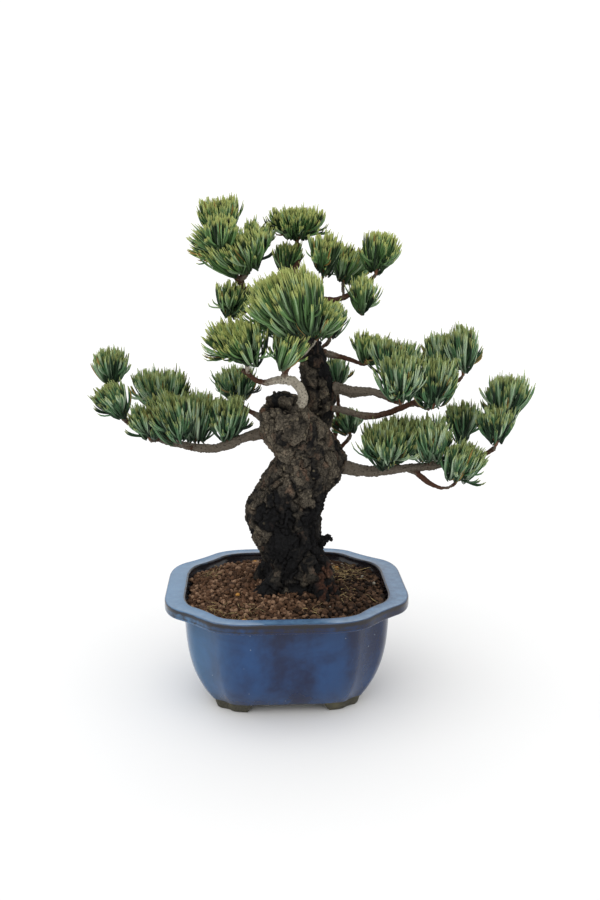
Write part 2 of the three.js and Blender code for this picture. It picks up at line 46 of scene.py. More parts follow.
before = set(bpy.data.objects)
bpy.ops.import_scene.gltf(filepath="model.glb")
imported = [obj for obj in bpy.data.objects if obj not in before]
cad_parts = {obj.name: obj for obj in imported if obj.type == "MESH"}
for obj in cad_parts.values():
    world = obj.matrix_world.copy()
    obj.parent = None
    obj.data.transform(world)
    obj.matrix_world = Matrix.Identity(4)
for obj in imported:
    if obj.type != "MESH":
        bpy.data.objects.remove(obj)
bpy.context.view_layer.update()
MM = 0.001
POT_LOW, POT_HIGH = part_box("pot")
POT_MIDDLE = (POT_LOW + POT_HIGH) / 2
SOIL_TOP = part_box("soil")[1].z
NODES = sorted(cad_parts)
BRANCHES = [name for name in NODES if name.startswith("branch_")]
BRUSHES = [name for name in NODES if name.startswith("needles_")]

CORNER_CLOSING = 0.25  # how much a straight part shortens for each metre that an outline moves in
CORNER_CUTS = 3  # times that an outline's corners are cut to round it
FOOT_LEVELS = [(0, 1.1), (0.3, 0.45), (1.0, 0.0), (4, 0), (8, 0), (12.5, 0)]  # mm up, mm rounded in
SOIL_MOUND = 8 * MM  # from the wall up to the trunk
SOIL_RECESS = 8 * MM  # from the rim's top down to the soil at the wall
GRANULE_SHAPES = 14
CHIP_TONE = 1.5  # tones over 1 mark the few yellow chips and pale stones
STONE_TONE = 2.5
CUT_FROM_MIDDLE = 9 * MM  # old cut's middle, left of the pot's middle
CUT_BOW = 3.5  # mm that the slit drops to its ends
SLIT_DEPTH = 6 * MM
LIP_HEIGHT = 1.6 * MM
GOLDEN_ANGLE = 2.39996
NEEDLE_STEPS = 7
NEEDLE_SIDES = 3
SHOOT_STEPS = 8
SHOOT_SIDES = 6
DEAD_TONE = 0.945
WOOD_TONE = 0.99
SOIL_SEED = 11
NEEDLE_SEED = 500  # the first brush's, and one more for each brush after it
FLOOR_HALF = 30.0
CAMERA_SIDE = -26.5 * MM  # camera from the pot's middle
CAMERA_BACK = -748.4 * MM
CAMERA_HEIGHT = 408.1 * MM
CAMERA_DOWN = 0.243  # radians under level
CAMERA_TURN = -0.052


def paint(red, green, blue):
    """A colour as it is given, 0 to 255 each, as the linear values that a shader takes."""
    return tuple(
        (c / 255 / 12.92) if c < 11 else ((c / 255 + 0.055) / 1.055) ** 2.4 for c in (red, green, blue)
    )


# ---- Sizes and colours that a user may change ----


def length(name, description, default):
    return bpy.props.FloatProperty(
        name=name, description=description, default=default, min=0.0, unit="LENGTH", subtype="DISTANCE"
    )


def number(name, description, default, low=0.0, high=1000.0):
    return bpy.props.FloatProperty(name=name, description=description, default=default, min=low, max=high)


def whole_number(name, description, default, low, high):
    return bpy.props.IntProperty(name=name, description=description, default=default, min=low, max=high)


def colour(name, description, default):
    return bpy.props.FloatVectorProperty(
        name=name, description=description, default=default, size=3, min=0.0, max=1.0, subtype="COLOR"
    )


class PotSettings(bpy.types.PropertyGroup):
    """Shape and glaze of the pot."""

    front_stretch: length("Front stretch", "Straight part of the rim's front edge", 112 * MM)
    side_stretch: length("Side stretch", "Straight part of the rim's side edge", 92 * MM)
    corner_dip: length("Corner dip", "How far the middle of each cut corner dips in", 2.3 * MM)
    rim_width: length("Rim width", "At the sides, from the outer edge to the opening", 17.5 * MM)
    rim_width_front: length("Front rim width", "The same at the front and the back", 12 * MM)
    rim_thickness: length("Rim thickness", "Height of the rim's edge", 8.8 * MM)
    rim_rounding: length("Rim rounding", "Radius along the rim's edges", 1.4 * MM)
    cove_height: length("Cove height", "Hollow curve between the rim and the body", 5.2 * MM)
    rim_overhang: length("Rim overhang", "Rim's edge out from the top of the body", 16.5 * MM)
    body_taper: length("Body taper", "How far the body leans in down to its foot", 2 * MM)
    belly_turn: length("Belly turn", "How far the belly turns in at the foot", 19 * MM)
    belly_power: number("Belly power", "How late the belly turns in", 3.0, 1.0, 8.0)
    wall: length("Wall", "Thickness of the wall", 6 * MM)
    floor: length("Floor", "Thickness of the floor", 8 * MM)
    foot_height: length("Foot height", "Height of the feet", 9 * MM)
    foot_gap_front: length("Front foot gap", "Between the feet along the front, under the body", 61 * MM)
    foot_gap_side: length("Side foot gap", "Between the feet along the side", 36 * MM)
    foot_chamfer: length("Foot chamfer", "How much a foot's end slopes back down to the table", 5 * MM)
    foot_set_in: length("Foot set-in", "Foot in from the edge of the underside", 0.3 * MM)
    foot_flare: length("Foot flare", "How far a foot leans in by the table", 4 * MM)
    foot_leg: length("Foot leg", "Thickness of a foot's bracket", 15 * MM)
    drain_hole: length("Drain hole", "Diameter of each drain hole", 20 * MM)
    drain_spacing: length("Drain spacing", "Between the two drain holes' middles", 72 * MM)
    deep_glaze: colour("Deep glaze", "Glaze where it lies thick", paint(8, 24, 60))
    pale_glaze: colour("Pale glaze", "Glaze where it clouds over", paint(26, 70, 120))
    # Painted light as well as glaze: the rim's top is paler partly because light falls on it from above.
    lit_rim_glaze: colour("Rim glaze", "Glaze on the flat top of the rim", paint(96, 130, 162))
    thin_glaze: colour("Thin glaze", "Glaze where it runs thin over an edge", paint(28, 22, 18))
    raw_clay: colour("Raw clay", "Unglazed clay of the feet", paint(78, 76, 64))


class SoilSettings(bpy.types.PropertyGroup):
    """Granules and what lies among them."""

    granule: length("Granule", "Usual width of a soil granule", 3.5 * MM)
    layers: whole_number("Layers", "Layers of loose granules", 2, 1, 3)
    dry_soil: colour("Dry soil", "Granules on the lighter side", paint(96, 70, 52))
    # Painted shade as well as the colour of damp soil.
    moist_and_shaded_soil: colour("Moist soil", "Granules in the damp and the shade", paint(34, 26, 21))
    straw: colour("Straw", "Dead moss, chips and fine roots", paint(164, 142, 96))


class BarkSettings(bpy.types.PropertyGroup):
    """Bark of the trunk and the branches."""

    plate: length("Plate", "Usual width of a bark plate", 15 * MM)
    plate_height: length("Plate height", "How far a plate stands out over the cracks", 3 * MM)
    flake: length("Flake", "Usual width of a flake on a plate", 5 * MM)
    cut_height: length("Cut height", "From the soil to the slit under the shoulder's lip", 166 * MM)
    cut_width: length("Cut width", "How wide that slit is", 28 * MM)
    dark_bark: colour("Dark bark", "Weathered bark in the shade of the crown", paint(27, 27, 28))
    grey_bark: colour("Grey bark", "Plates that face the light", paint(126, 116, 100))
    rust_bark: colour("Rust bark", "Freshly opened flakes", paint(94, 60, 44))
    branch_grey: colour("Branch grey", "Smooth bark of the older branches", paint(102, 94, 83))
    pale_grey: colour("Pale grey", "Bark of the branch at the front", paint(164, 157, 142))
    twig_brown: colour("Twig brown", "Bark of the young twigs", paint(74, 50, 38))


class NeedleSettings(bpy.types.PropertyGroup):
    """Needles and the shoots that bear them."""

    bundles: whole_number("Bundles", "Needle bundles on a middling shoot", 34, 4, 120)
    needle_width: length("Needle width", "Width of one needle at its middle", 1.3 * MM)
    spread: number("Spread", "How far needles fan out, over their solid's half width", 1.36, 0.5, 2.0)
    shoot_width: length("Shoot width", "Diameter of the shoot under a brush", 2.6 * MM)
    dark_needle: colour("Dark needle", "Old needles and their bases", paint(18, 34, 22))
    green_needle: colour("Green needle", "Needles of the outer pads", paint(84, 126, 84))
    fresh_needle: colour("Fresh needle", "Needles of the front and the crown", paint(98, 138, 78))
    # Painted highlight as well as bloom: the palest needles also stand in for glints on them.
    pale_needle: colour("Pale needle", "Bloomed inner face of a needle", paint(190, 208, 178))
    needle_tip: colour("Needle tip", "Blunt yellow-green tips", paint(200, 206, 122))
    dead_needle: colour("Dead needle", "Needles that have turned", paint(150, 122, 66))


class StageSettings(bpy.types.PropertyGroup):
    """Floor, light and camera."""

    floor_colour: colour("Floor", "Colour of the floor", paint(229, 229, 229))
    sky: number("Sky", "Strength of the light all round", 1.08)
    key: number("Key", "Strength of the soft light above", 1.0)
    lens: number("Lens", "Focal length in millimetres", 36.0, 1.0)


SETTINGS = {
    "bonsai_pot": PotSettings,
    "bonsai_soil": SoilSettings,
    "bonsai_bark": BarkSettings,
    "bonsai_needles": NeedleSettings,
    "bonsai_stage": StageSettings,
}


# ---- Materials ----


class Field:
    """A value that varies over a surface: a node's socket that sums can be written with."""

    def __init__(self, finish, socket):
        self.finish = finish
        self.socket = socket

    def maths(self, operation, *terms):
        return self.finish.node("ShaderNodeMath", {"operation": operation}, dict(enumerate(terms)))

    def __add__(self, other):
        return self.maths("ADD", self, other)

    __radd__ = __add__

    def __sub__(self, other):
        return self.maths("SUBTRACT", self, other)

    def __rsub__(self, other):
        return self.maths("SUBTRACT", other, self)

    def __mul__(self, other):
        return self.maths("MULTIPLY", self, other)

    __rmul__ = __mul__

    def between(self, low, high):
        """0 below low, 1 above high and smooth in between."""
        return self.finish.node(
            "ShaderNodeMapRange",
            {"interpolation_type": "SMOOTHSTEP"},
            {"Value": self, "From Min": low, "From Max": high},
        )


class Finish:
    """One procedural material."""

    def __init__(self, name):
        self.material = bpy.data.materials.new(name)
        self.material.use_nodes = True
        self.tree = self.material.node_tree
        self.tree.nodes.clear()

    def node(self, kind, settings=None, sockets=None, output=0):
        """Adds a node, sets it, then fills or links its sockets by name or number; returns one output."""
        made = self.tree.nodes.new(kind)
        for name, value in (settings or {}).items():
            setattr(made, name, value)
        usable = [socket for socket in made.inputs if socket.enabled]
        named = {socket.name: socket for socket in reversed(usable)}
        for name, value in (sockets or {}).items():
            socket = usable[name] if isinstance(name, int) else named[name]
            if isinstance(value, Field):
                self.tree.links.new(value.socket, socket)
            elif socket.type == "RGBA" and len(value) == 3:
                socket.default_value = (*value, 1)
            else:
                socket.default_value = value
        outputs = [socket for socket in made.outputs if socket.enabled]
        return Field(self, outputs[output]) if outputs else None

    def place(self):
        """Where on the object, in metres."""
        return self.node("ShaderNodeTexCoord", output=3)

    def along(self, axis):
        """One coordinate of the place: axis 0 is across, 1 deep and 2 up."""
        return self.node("ShaderNodeSeparateXYZ", None, {0: self.place()}, output=axis)

    def stretched(self, x, y, z):
        """The place, stretched by a share along each axis."""
        return self.node("ShaderNodeVectorMath", {"operation": "MULTIPLY"}, {0: self.place(), 1: (x, y, z)})

    def attribute(self, name):
        return self.node("ShaderNodeAttribute", {"attribute_name": name}, output=2)

    def clouds(self, size, detail=3.0, roughness=0.5, place=None, distortion=0.0):
        """Soft noise from 0 to 1 whose patches are about this wide."""
        return self.node(
            "ShaderNodeTexNoise",
            None,
            {
                "Vector": place or self.place(),
                "Scale": 1 / size,
                "Detail": detail,
                "Roughness": roughness,
                "Distortion": distortion,
            },
        )

    def cells(self, size, feature="F1", place=None):
        """Distance within cells that are about this wide, in cells."""
        return self.node(
            "ShaderNodeTexVoronoi", {"feature": feature}, {"Vector": place or self.place(), "Scale": 1 / size}
        )

    def mix(self, share, first, second):
        """A colour between two."""
        return self.node(
            "ShaderNodeMix", {"data_type": "RGBA"}, {"Factor": share, "A": first, "B": second}
        )

    def surface(self, sockets, height=None, depth=0.0, sharpness=1.0):
        """The shader and its output; height is a relief in units of depth metres."""
        if height is not None:
            sockets["Normal"] = self.node(
                "ShaderNodeBump", None, {"Strength": sharpness, "Distance": depth, "Height": height}
            )
        shader = self.node("ShaderNodeBsdfPrincipled", None, sockets)
        self.node("ShaderNodeOutputMaterial", None, {"Surface": shader})
        return self.material


def glaze_finish(pot):
    """Blue glaze, cloudy where it lies thick and brown where it thins, over grey clay, with painted light on
    the left and on the rim's top and painted shade to the right.
    """
    coat = Finish("blue glaze")
    drift = coat.clouds(48 * MM, 4, 0.55, distortion=0.6)
    runs = coat.clouds(22 * MM, 3, 0.5, coat.stretched(1, 1, 0.35))
    mottle = coat.clouds(6 * MM, 4, 0.6)
    cloudy = (drift * 0.6 + runs * 0.3 + mottle * 0.12).between(0.4, 0.66)
    lit_rim = coat.attribute("rim_top")
    glaze = coat.mix(cloudy * 0.8, pot.deep_glaze, pot.pale_glaze)
    # Painted shade: towards the right side the glaze's clouds are painted deep blue, as on the side away from
    # the light.
    glaze = coat.mix(coat.along(0).between(-0.02, 0.07) * drift * 0.7, glaze, paint(6, 24, 50))
    # Painted reflection: the left side of the pot is painted paler blue, as where light is mirrored in the
    # glaze.
    left = 1 - coat.along(0).between(-0.12, -0.06)
    glaze = coat.mix(left * (runs * 0.5 + 0.35), glaze, paint(84, 124, 158))
    # Painted light: the rim's flat top is painted paler blue, partly the glaze's own mottle and partly light
    # falling on it from above.
    glaze = coat.mix(lit_rim * (mottle * 0.9 + drift * 0.5 + 0.05), glaze, pot.lit_rim_glaze)
    ash = coat.cells(13 * MM)
    glaze = coat.mix((1 - ash.between(0.025, 0.04)) * 0.5, glaze, paint(170, 184, 192))
    pinholes = 1 - coat.cells(8.3 * MM).between(0.02, 0.04)
    glaze = coat.mix(pinholes * 0.6, glaze, paint(24, 24, 30))
    thinness = (coat.attribute("thin") + (mottle - 0.5) * 0.7).between(0.45, 0.8)
    glaze = coat.mix(thinness * 0.92, glaze, pot.thin_glaze)
    grit = coat.clouds(1.1 * MM, 3, 0.7)
    clay = coat.mix(grit.between(0.35, 0.7), pot.raw_clay, paint(48, 46, 40))
    clay = coat.mix(coat.clouds(9 * MM, 3).between(0.45, 0.7) * 0.6, clay, paint(98, 94, 72))
    bare = (coat.attribute("bare") + (coat.clouds(12 * MM, 2) - 0.5) * 0.5).between(0.44, 0.56)
    base = coat.mix(bare, glaze, clay)
    relief = (1 - bare) * (coat.clouds(3 * MM, 2) * 0.35 + drift * 0.6 - pinholes * 0.2) + bare * grit
    return coat.surface(
        {
            "Base Color": base,
            "Roughness": bare * 0.62 + 0.24 + (runs - 0.5) * 0.1,
            "Specular IOR Level": 0.35,
            "Coat Weight": (1 - bare) * 0.18,
            "Coat Roughness": 0.06,
        },
        relief,
        0.45 * MM,
        0.6,
    )


def screen_finish():
    """Black moulded mesh, faintly ribbed."""
    plastic = Finish("screen plastic")
    # Builds every piece in order.
    fleck = plastic.clouds(1.6 * MM, 3)
    shade = plastic.mix(fleck, paint(26, 29, 31), paint(48, 52, 54))
    return plastic.surface({"Base Color": shade, "Roughness": fleck * 0.2 + 0.45}, fleck, 0.1 * MM)


def wire_finish():
    """Brown anodised training wire with drawn scratches."""
    wire = Finish("training wire")
    drawn = wire.clouds(0.5 * MM, 3, 0.6, wire.stretched(1, 0.2, 0.2))
    shade = wire.mix(drawn, paint(124, 82, 52), paint(176, 128, 88))
    sockets = {"Base Color": shade, "Metallic": 0.85, "Roughness": drawn * 0.25 + 0.25}
    return wire.surface(sockets, drawn, 0.05 * MM)


def grit_finish():
    """Coarse pumice and grit packed over the floor."""
    pumice = Finish("drainage grit")
    stone = pumice.cells(4.5 * MM, "SMOOTH_F1")
    tint = pumice.clouds(5 * MM, 2)
    shade = pumice.mix(tint.between(0.35, 0.65), paint(92, 84, 74), paint(168, 156, 132))
    # Painted shade: dark in the gaps between the stones.
    shade = pumice.mix(stone.between(0.4, 0.75), shade, paint(34, 29, 24))
    return pumice.surface({"Base Color": shade, "Roughness": 0.95}, 1 - stone, 2 * MM)


def soil_finish(name, soil):
    """Baked clay granules, paler where they are dry and darker to the right with damp and painted shade, with
    a few yellow chips and pale stones.
    """
    clay = Finish(name)
    tone = clay.attribute("tone")
    # Painted shade as well as damp: the granules darken towards the right side and in cloudy patches.
    damp_and_shade = (clay.clouds(38 * MM, 3) * 0.5 + clay.along(0) * 7 + 0.4).between(0.34, 0.7)
    shade = clay.mix(damp_and_shade * 0.55 + (1 - tone.between(0.0, 0.6)) * 0.62, soil.dry_soil, soil.moist_and_shaded_soil)
    shade = clay.mix(tone.between(0.66, 0.95) * (1 - damp_and_shade * 0.7) * 0.85, shade, paint(152, 122, 98))
    shade = clay.mix(clay.clouds(1.4 * MM, 3, 0.7).between(0.4, 0.75) * 0.6, shade, paint(18, 14, 11))
    shade = clay.mix(tone.between(1.2, 1.3), shade, paint(176, 128, 66))
    shade = clay.mix(tone.between(2.2, 2.3), shade, paint(138, 132, 120))
    rough = clay.clouds(0.9 * MM, 4, 0.7)
    return clay.surface(
        {"Base Color": shade, "Roughness": 0.94, "Specular IOR Level": 0.12}, rough, 0.5 * MM, 0.8
    )


def straw_finish(soil):
    """Dry moss and hair roots."""
    straw = Finish("dry moss and roots")
    shade = straw.mix(straw.clouds(5 * MM, 3).between(0.35, 0.65), soil.straw, paint(90, 74, 50))
    return straw.surface({"Base Color": shade, "Roughness": 0.9}, straw.clouds(0.6 * MM, 2), 0.15 * MM)


def trunk_finish(bark):
    """Old plated bark: grey and tan plates, paler where light is painted on, rusty fresh flakes, black cracks
    with painted shade in them.
    """
    old = Finish("plated bark")
    plate, flake, crack = (old.attribute(name) for name in ("plate", "flake", "crack"))
    lit, warm = old.attribute("lit"), old.attribute("warm")
    fine = old.clouds(1.3 * MM, 4, 0.7)
    patch = old.clouds(10 * MM, 3, 0.6)
    # Painted light: the lit mark makes the bark paler on the shoulder and on the left side.
    paleness = lit * 0.75 + (plate - 0.5) * 0.55 + (flake - 0.5) * 0.4 + (patch - 0.5) * 0.5
    shade = old.mix(paleness.between(0.1, 0.95), bark.dark_bark, bark.grey_bark)
    rusty = (warm + (flake - 0.5) * 0.9 + (patch - 0.5) * 0.5).between(0.5, 0.85)
    shade = old.mix(rusty * 0.75, shade, bark.rust_bark)
    shade = old.mix(fine.between(0.4, 0.62) * 0.72, shade, paint(14, 13, 13))
    # Pale lichen spots are shown only where the bark is painted lit.
    lichen_in_painted_light = (1 - old.cells(7 * MM).between(0.12, 0.2)) * (patch + 0.3) * lit
    shade = old.mix(lichen_in_painted_light * 0.5, shade, paint(158, 146, 116))
    # Cracks go near black: the bark's own dark fissures, with painted shade in their depth.
    shade = old.mix(crack, shade, paint(7, 6, 6))
    relief = fine * 0.7 + old.clouds(0.5 * MM, 2) * 0.3
    return old.surface(
        {"Base Color": shade, "Roughness": 0.92, "Specular IOR Level": 0.12}, relief, 0.8 * MM, 0.9
    )


def branch_finish(name, bark, grey):
    """Smoother bark: grey with dark specks on old wood, brown on the twigs."""
    young = Finish(name)
    girth = young.attribute("girth")
    fine = young.clouds(1.1 * MM, 4, 0.65)
    patch = young.clouds(8 * MM, 3, 0.6)
    shade = young.mix((girth + (patch - 0.5) * 0.5).between(0.25, 0.7), bark.twig_brown, grey)
    shade = young.mix(patch.between(0.5, 0.75) * 0.5, shade, paint(66, 54, 44))
    specks = 1 - young.cells(2.6 * MM).between(0.16, 0.3)
    shade = young.mix(specks * 0.7, shade, paint(22, 19, 17))
    shade = young.mix(fine.between(0.45, 0.75) * 0.45, shade, paint(30, 25, 21))
    sockets = {"Base Color": shade, "Roughness": 0.85, "Specular IOR Level": 0.15}
    return young.surface(sockets, fine + specks * 0.4, 0.5 * MM, 0.9)


def needle_finish(name, needles, leaf_green, bloom_and_highlight, tips):
    """Satin needles, darker where they leave the shoot as painted shade deep in the brush; tone picks a
    needle's own green, whose pale bloom also stands in for painted highlights.
    """
    leaf = Finish(name)
    tone, along = leaf.attribute("tone"), leaf.attribute("along")
    shade = leaf.mix(tone.between(0.0, 0.6), needles.dark_needle, leaf_green)
    # Pale needles: the bloom of their inner faces, painted brighter to stand in for highlights on them.
    shade = leaf.mix(tone.between(0.45, 0.85) * bloom_and_highlight, shade, needles.pale_needle)
    # Painted shade: needles darken towards their bases, deep in the brush.
    shade = leaf.mix((1 - along.between(0.05, 0.6)) * 0.75, shade, needles.dark_needle)
    shade = leaf.mix(along.between(0.8, 0.97) * tips, shade, needles.needle_tip)
    shade = leaf.mix(tone.between(0.925, 0.93), shade, needles.dead_needle)
    shade = leaf.mix(tone.between(0.965, 0.97), shade, paint(104, 66, 42))
    return leaf.surface({"Base Color": shade, "Roughness": 0.5, "Specular IOR Level": 0.25})


# ---- Meshes ----


def new_piece(name, points, faces, material, replaced=(), values=None):
    """A mesh object that rides on the root body and stands for the named solids.

    points is n x 3, faces is n x 3 or n x 4, and values holds one number a point for each name.
    """
    points, faces = np.asarray(points, np.float32), np.asarray(faces, np.int32)
    mesh = bpy.data.meshes.new(name)
    mesh.vertices.add(len(points))
    mesh.vertices.foreach_set("co", points.ravel())
    mesh.loops.add(faces.size)
    mesh.loops.foreach_set("vertex_index", faces.ravel())
    mesh.polygons.add(len(faces))
    mesh.polygons.foreach_set("loop_start", np.arange(0, faces.size, faces.shape[1], dtype=np.int32))
    mesh.update(calc_edges=True)
    mesh.validate()
    for label, numbers in (values or {}).items():
        mark(mesh, label, numbers)
    piece = bpy.data.objects.new(name, mesh)
    return dressed(piece, material, replaced)


def dressed(piece, material, replaced=()):
    """Links a piece, gives it its material and hides the solids that it stands for."""
    if piece.name not in bpy.context.scene.collection.objects:
        bpy.context.scene.collection.objects.link(piece)
    piece.data.materials.clear()
    piece.data.materials.append(material)
    piece.data.polygons.foreach_set("use_smooth", [True] * len(piece.data.polygons))
    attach(piece, "root")
    if replaced:
        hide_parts(*replaced)
    return piece


def mark(mesh, label, numbers):
    """Stores one number a point on a mesh, for its material to read."""
    mesh.attributes.new(label, "FLOAT", "POINT").data.foreach_set("value", np.asarray(numbers, np.float32))


def points_of(mesh, kind="co"):
    """Where a mesh's points are, or with "normal" which way they face, n x 3."""
    found = np.empty(len(mesh.vertices) * 3, np.float32)
    mesh.vertices.foreach_get(kind, found)
    return found.reshape(-1, 3).astype(float)


def push_out(mesh, points, normals, moved):
    """Moves each point of a mesh along its normal."""
    mesh.vertices.foreach_set("co", (points + normals * moved[:, None]).astype(np.float32).ravel())


def applied(piece):
    """Replaces a piece's mesh by what its modifiers make of it."""
    graph = bpy.context.evaluated_depsgraph_get()
    shaped = bpy.data.meshes.new_from_object(piece.evaluated_get(graph), depsgraph=graph)
    piece.modifiers.clear()
    piece.data = shaped
    return piece


def regrown(name, node, voxel, rounds):
    """A copy of a solid with an even fine mesh and its facets smoothed away."""
    piece = bpy.data.objects.new(name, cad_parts[node].data.copy())
    bpy.context.scene.collection.objects.link(piece)
    remesh = piece.modifiers.new("even mesh", "REMESH")
    remesh.mode = "VOXEL"
    remesh.voxel_size = voxel
    smooth = piece.modifiers.new("facets away", "SMOOTH")
    smooth.iterations = rounds
    smooth.factor = 0.5
    return applied(piece)


def quads_between(rows, columns, closed=True, start=0):
    """Faces of a grid whose rows are rings of points, one after another."""
    ring = np.arange(columns if closed else columns - 1)
    after = (ring + 1) % columns
    low = start + np.arange(rows - 1)[:, None] * columns
    return np.stack([low + ring, low + after, low + columns + after, low + columns + ring], -1).reshape(-1, 4)


# ---- Pot ----


def cut_corners(points):
    """Cuts every corner of a closed outline once."""
    after = np.roll(points, -1, 0)
    return np.stack([points * 0.75 + after * 0.25, points * 0.25 + after * 0.75], 1).reshape(-1, 2)


def pot_outline(pot, inset, front=None):
    """The pot's lobed outline round its own middle, moved in from the rim's outer edge.

    The front and the back may move in by another amount than the sides.
    """
    x = (POT_HIGH.x - POT_LOW.x) / 2 - inset
    y = (POT_HIGH.y - POT_LOW.y) / 2 - (inset if front is None else front)
    flat_x = pot.front_stretch / 2 - CORNER_CLOSING * inset
    flat_y = pot.side_stretch / 2 - CORNER_CLOSING * inset
    dip_x, dip_y = (flat_x + x) / 2 - pot.corner_dip, (flat_y + y) / 2 - pot.corner_dip
    quarter = np.array([[x, 0], [x, flat_y], [dip_x, dip_y], [flat_x, y]])
    points = np.concatenate(
        [quarter, [[0, y], [-flat_x, y], [-dip_x, dip_y], [-x, flat_y]], -quarter]
        + [[[0, -y], [flat_x, -y], [dip_x, -dip_y], [x, -flat_y]]]
    )
    for _ in range(CORNER_CUTS):
        points = cut_corners(points)
    return points


def body_inset(pot, z):
    """How far the body's outside is in from the rim's edge at a height."""
    top = POT_HIGH.z - pot.rim_thickness - pot.cove_height
    below = min(max((top - z) / (top - pot.foot_height), 0), 1)
    return pot.rim_overhang + pot.body_taper * below + pot.belly_turn * below**pot.belly_power


def inside_at(pot, drop):
    """How far in the pot's inside is at the sides and at the front, this far below the rim's top."""
    share = min(max((drop - pot.rim_thickness / 2) / (pot.rim_thickness / 2 + pot.cove_height), 0), 1)
    wall = pot.rim_overhang + pot.wall
    return tuple(rim + (wall - rim) * share for rim in (pot.rim_width, pot.rim_width_front))


def quarter_turn(steps):
    """Angles from 0 to a right angle."""
    return [math.pi / 2 * i / steps for i in range(steps + 1)]


def pot_profile(pot):
    """Rings from under the pot, up its outside, over the rim and down its inside.

    Each is (inset, inset at the front, height, thinness of the glaze, bareness of the clay, share of the
    rim's top).
    """
    top, edge, turn = POT_HIGH.z, pot.rim_thickness, pot.rim_rounding
    under = top - edge
    body_top = under - pot.cove_height
    foot = pot.foot_height
    rings = []

    def ring(inset, z, thin=0.0, bare=0.0, rim_top=0.0, front=None):
        rings.append((inset, inset if front is None else front, z, thin, bare, rim_top))

    for d in (11, 4, 1.2):
        ring(body_inset(pot, foot) + d * MM, foot, bare=1)
    ring(body_inset(pot, foot) + 0.35 * MM, foot + 0.25 * MM, 0.3, 1)
    for i in range(1, 31):
        z = foot + (body_top - foot) * (i / 30) ** 1.5
        line = 1 if z < foot + 0.9 * MM else 0
        ring(body_inset(pot, z), z, 0.35 * line, line)
    reach = pot.rim_overhang / 2
    for a in quarter_turn(8)[1:]:
        ring(pot.rim_overhang - reach * (1 - math.cos(a)), body_top + pot.cove_height * math.sin(a), 0.12)
    for share in (0.6, 0.3, 0.1):
        ring(reach * share + turn, under, 0.1)
    for a in quarter_turn(4):
        ring(turn * (1 - math.sin(a)), under + turn * (1 - math.cos(a)), 0.5)
    for share, thin in ((0.15, 0.7), (0.3, 0.6), (0.5, 0.6), (0.72, 0.7), (0.82, 0.98), (1, 1)):
        ring(0, under + turn + (edge - 2 * turn) * share, thin)
    for a in quarter_turn(4)[1:]:
        ring(turn * (1 - math.cos(a)), top - turn * (1 - math.sin(a)), 1 - a * 0.45, 0, a * 0.3)
    for share, thin in ((0.04, 0.1), (0.12, 0), (0.3, 0), (0.5, 0), (0.7, 0), (0.88, 0.05), (0.96, 0.3)):
        side, front = (turn + (width - 2 * turn) * share for width in (pot.rim_width, pot.rim_width_front))
        ring(side, top - 0.35 * MM * math.sin(math.pi * share), thin, 0, 1 - 0.5 * share**4, front)
    for a in quarter_turn(4):
        side, front = (width - turn * (1 - math.sin(a)) for width in (pot.rim_width, pot.rim_width_front))
        ring(side, top - turn * (1 - math.cos(a)), 0.75, 0, 0.3, front)
    for drop in (2.2, 4.4, 7.0, 10.0):
        side, front = inside_at(pot, drop * MM)
        ring(side, top - drop * MM, 1, 0, 0, front)
    floor_top = foot + pot.floor
    for i in range(13):
        z = body_top - (body_top - floor_top - 2 * MM) * (i / 12) ** 0.7
        ring(body_inset(pot, z - pot.wall / 2) + pot.wall, z, 1, 1 if i else 0)
    ring(body_inset(pot, floor_top - pot.wall / 2) + pot.wall + 4 * MM, floor_top, 0.5, 1)
    return rings


def foot_line(pot, inset, gap_x, gap_y, count):
    """Points along one corner of the outline, between the gaps to the next feet."""
    points = pot_outline(pot, inset)
    points = points[(points > 0).all(1)]
    points = points[np.argsort(np.arctan2(points[:, 1], points[:, 0]))]
    reach = np.concatenate([[0], np.cumsum(np.linalg.norm(np.diff(points, axis=0), axis=1))])
    fine = np.linspace(0, reach[-1], 600)
    line = np.stack([np.interp(fine, reach, points[:, i]) for i in (0, 1)], 1)
    line = line[(line[:, 0] >= gap_x) & (line[:, 1] >= gap_y)]
    return line[np.linspace(0, len(line) - 1, count).round().astype(int)]


def corner_foot(pot, sign_x, sign_y, count=30):
    """One bracket foot as a closed band that turns the corner: its points and faces."""
    edge = body_inset(pot, pot.foot_height) + pot.foot_set_in
    slope, stand = pot.foot_chamfer / pot.foot_height, pot.foot_height + pot.floor / 2
    outer, inner = [], []
    for z, rounding in FOOT_LEVELS:
        z *= MM
        open_by = pot.foot_chamfer - slope * z
        gap_x = pot.foot_gap_front / 2 + open_by + rounding * MM
        gap_y = pot.foot_gap_side / 2 + open_by + rounding * MM
        for rows, inset in (
            (outer, edge + pot.foot_flare * (1 - z / stand) + rounding * MM),
            (inner, edge + pot.foot_leg - rounding * MM),
        ):
            line = foot_line(pot, inset, gap_x, gap_y, count)
            rows.append(np.column_stack([line * (sign_x, sign_y), np.full(count, z)]))
    section = np.stack(outer + inner[::-1])  # levels round the section, stations along the foot
    size = len(section)
    points = section.transpose(1, 0, 2).reshape(-1, 3)
    faces = quads_between(count, size)
    if sign_x * sign_y > 0:
        faces = faces[:, ::-1]
    ends = []
    for first in (0, (count - 1) * size):
        half = size // 2
        for i in range(half - 1):
            ends.append([first + i, first + i + 1, first + size - 2 - i, first + size - 1 - i])
    return points, np.concatenate([faces, ends])


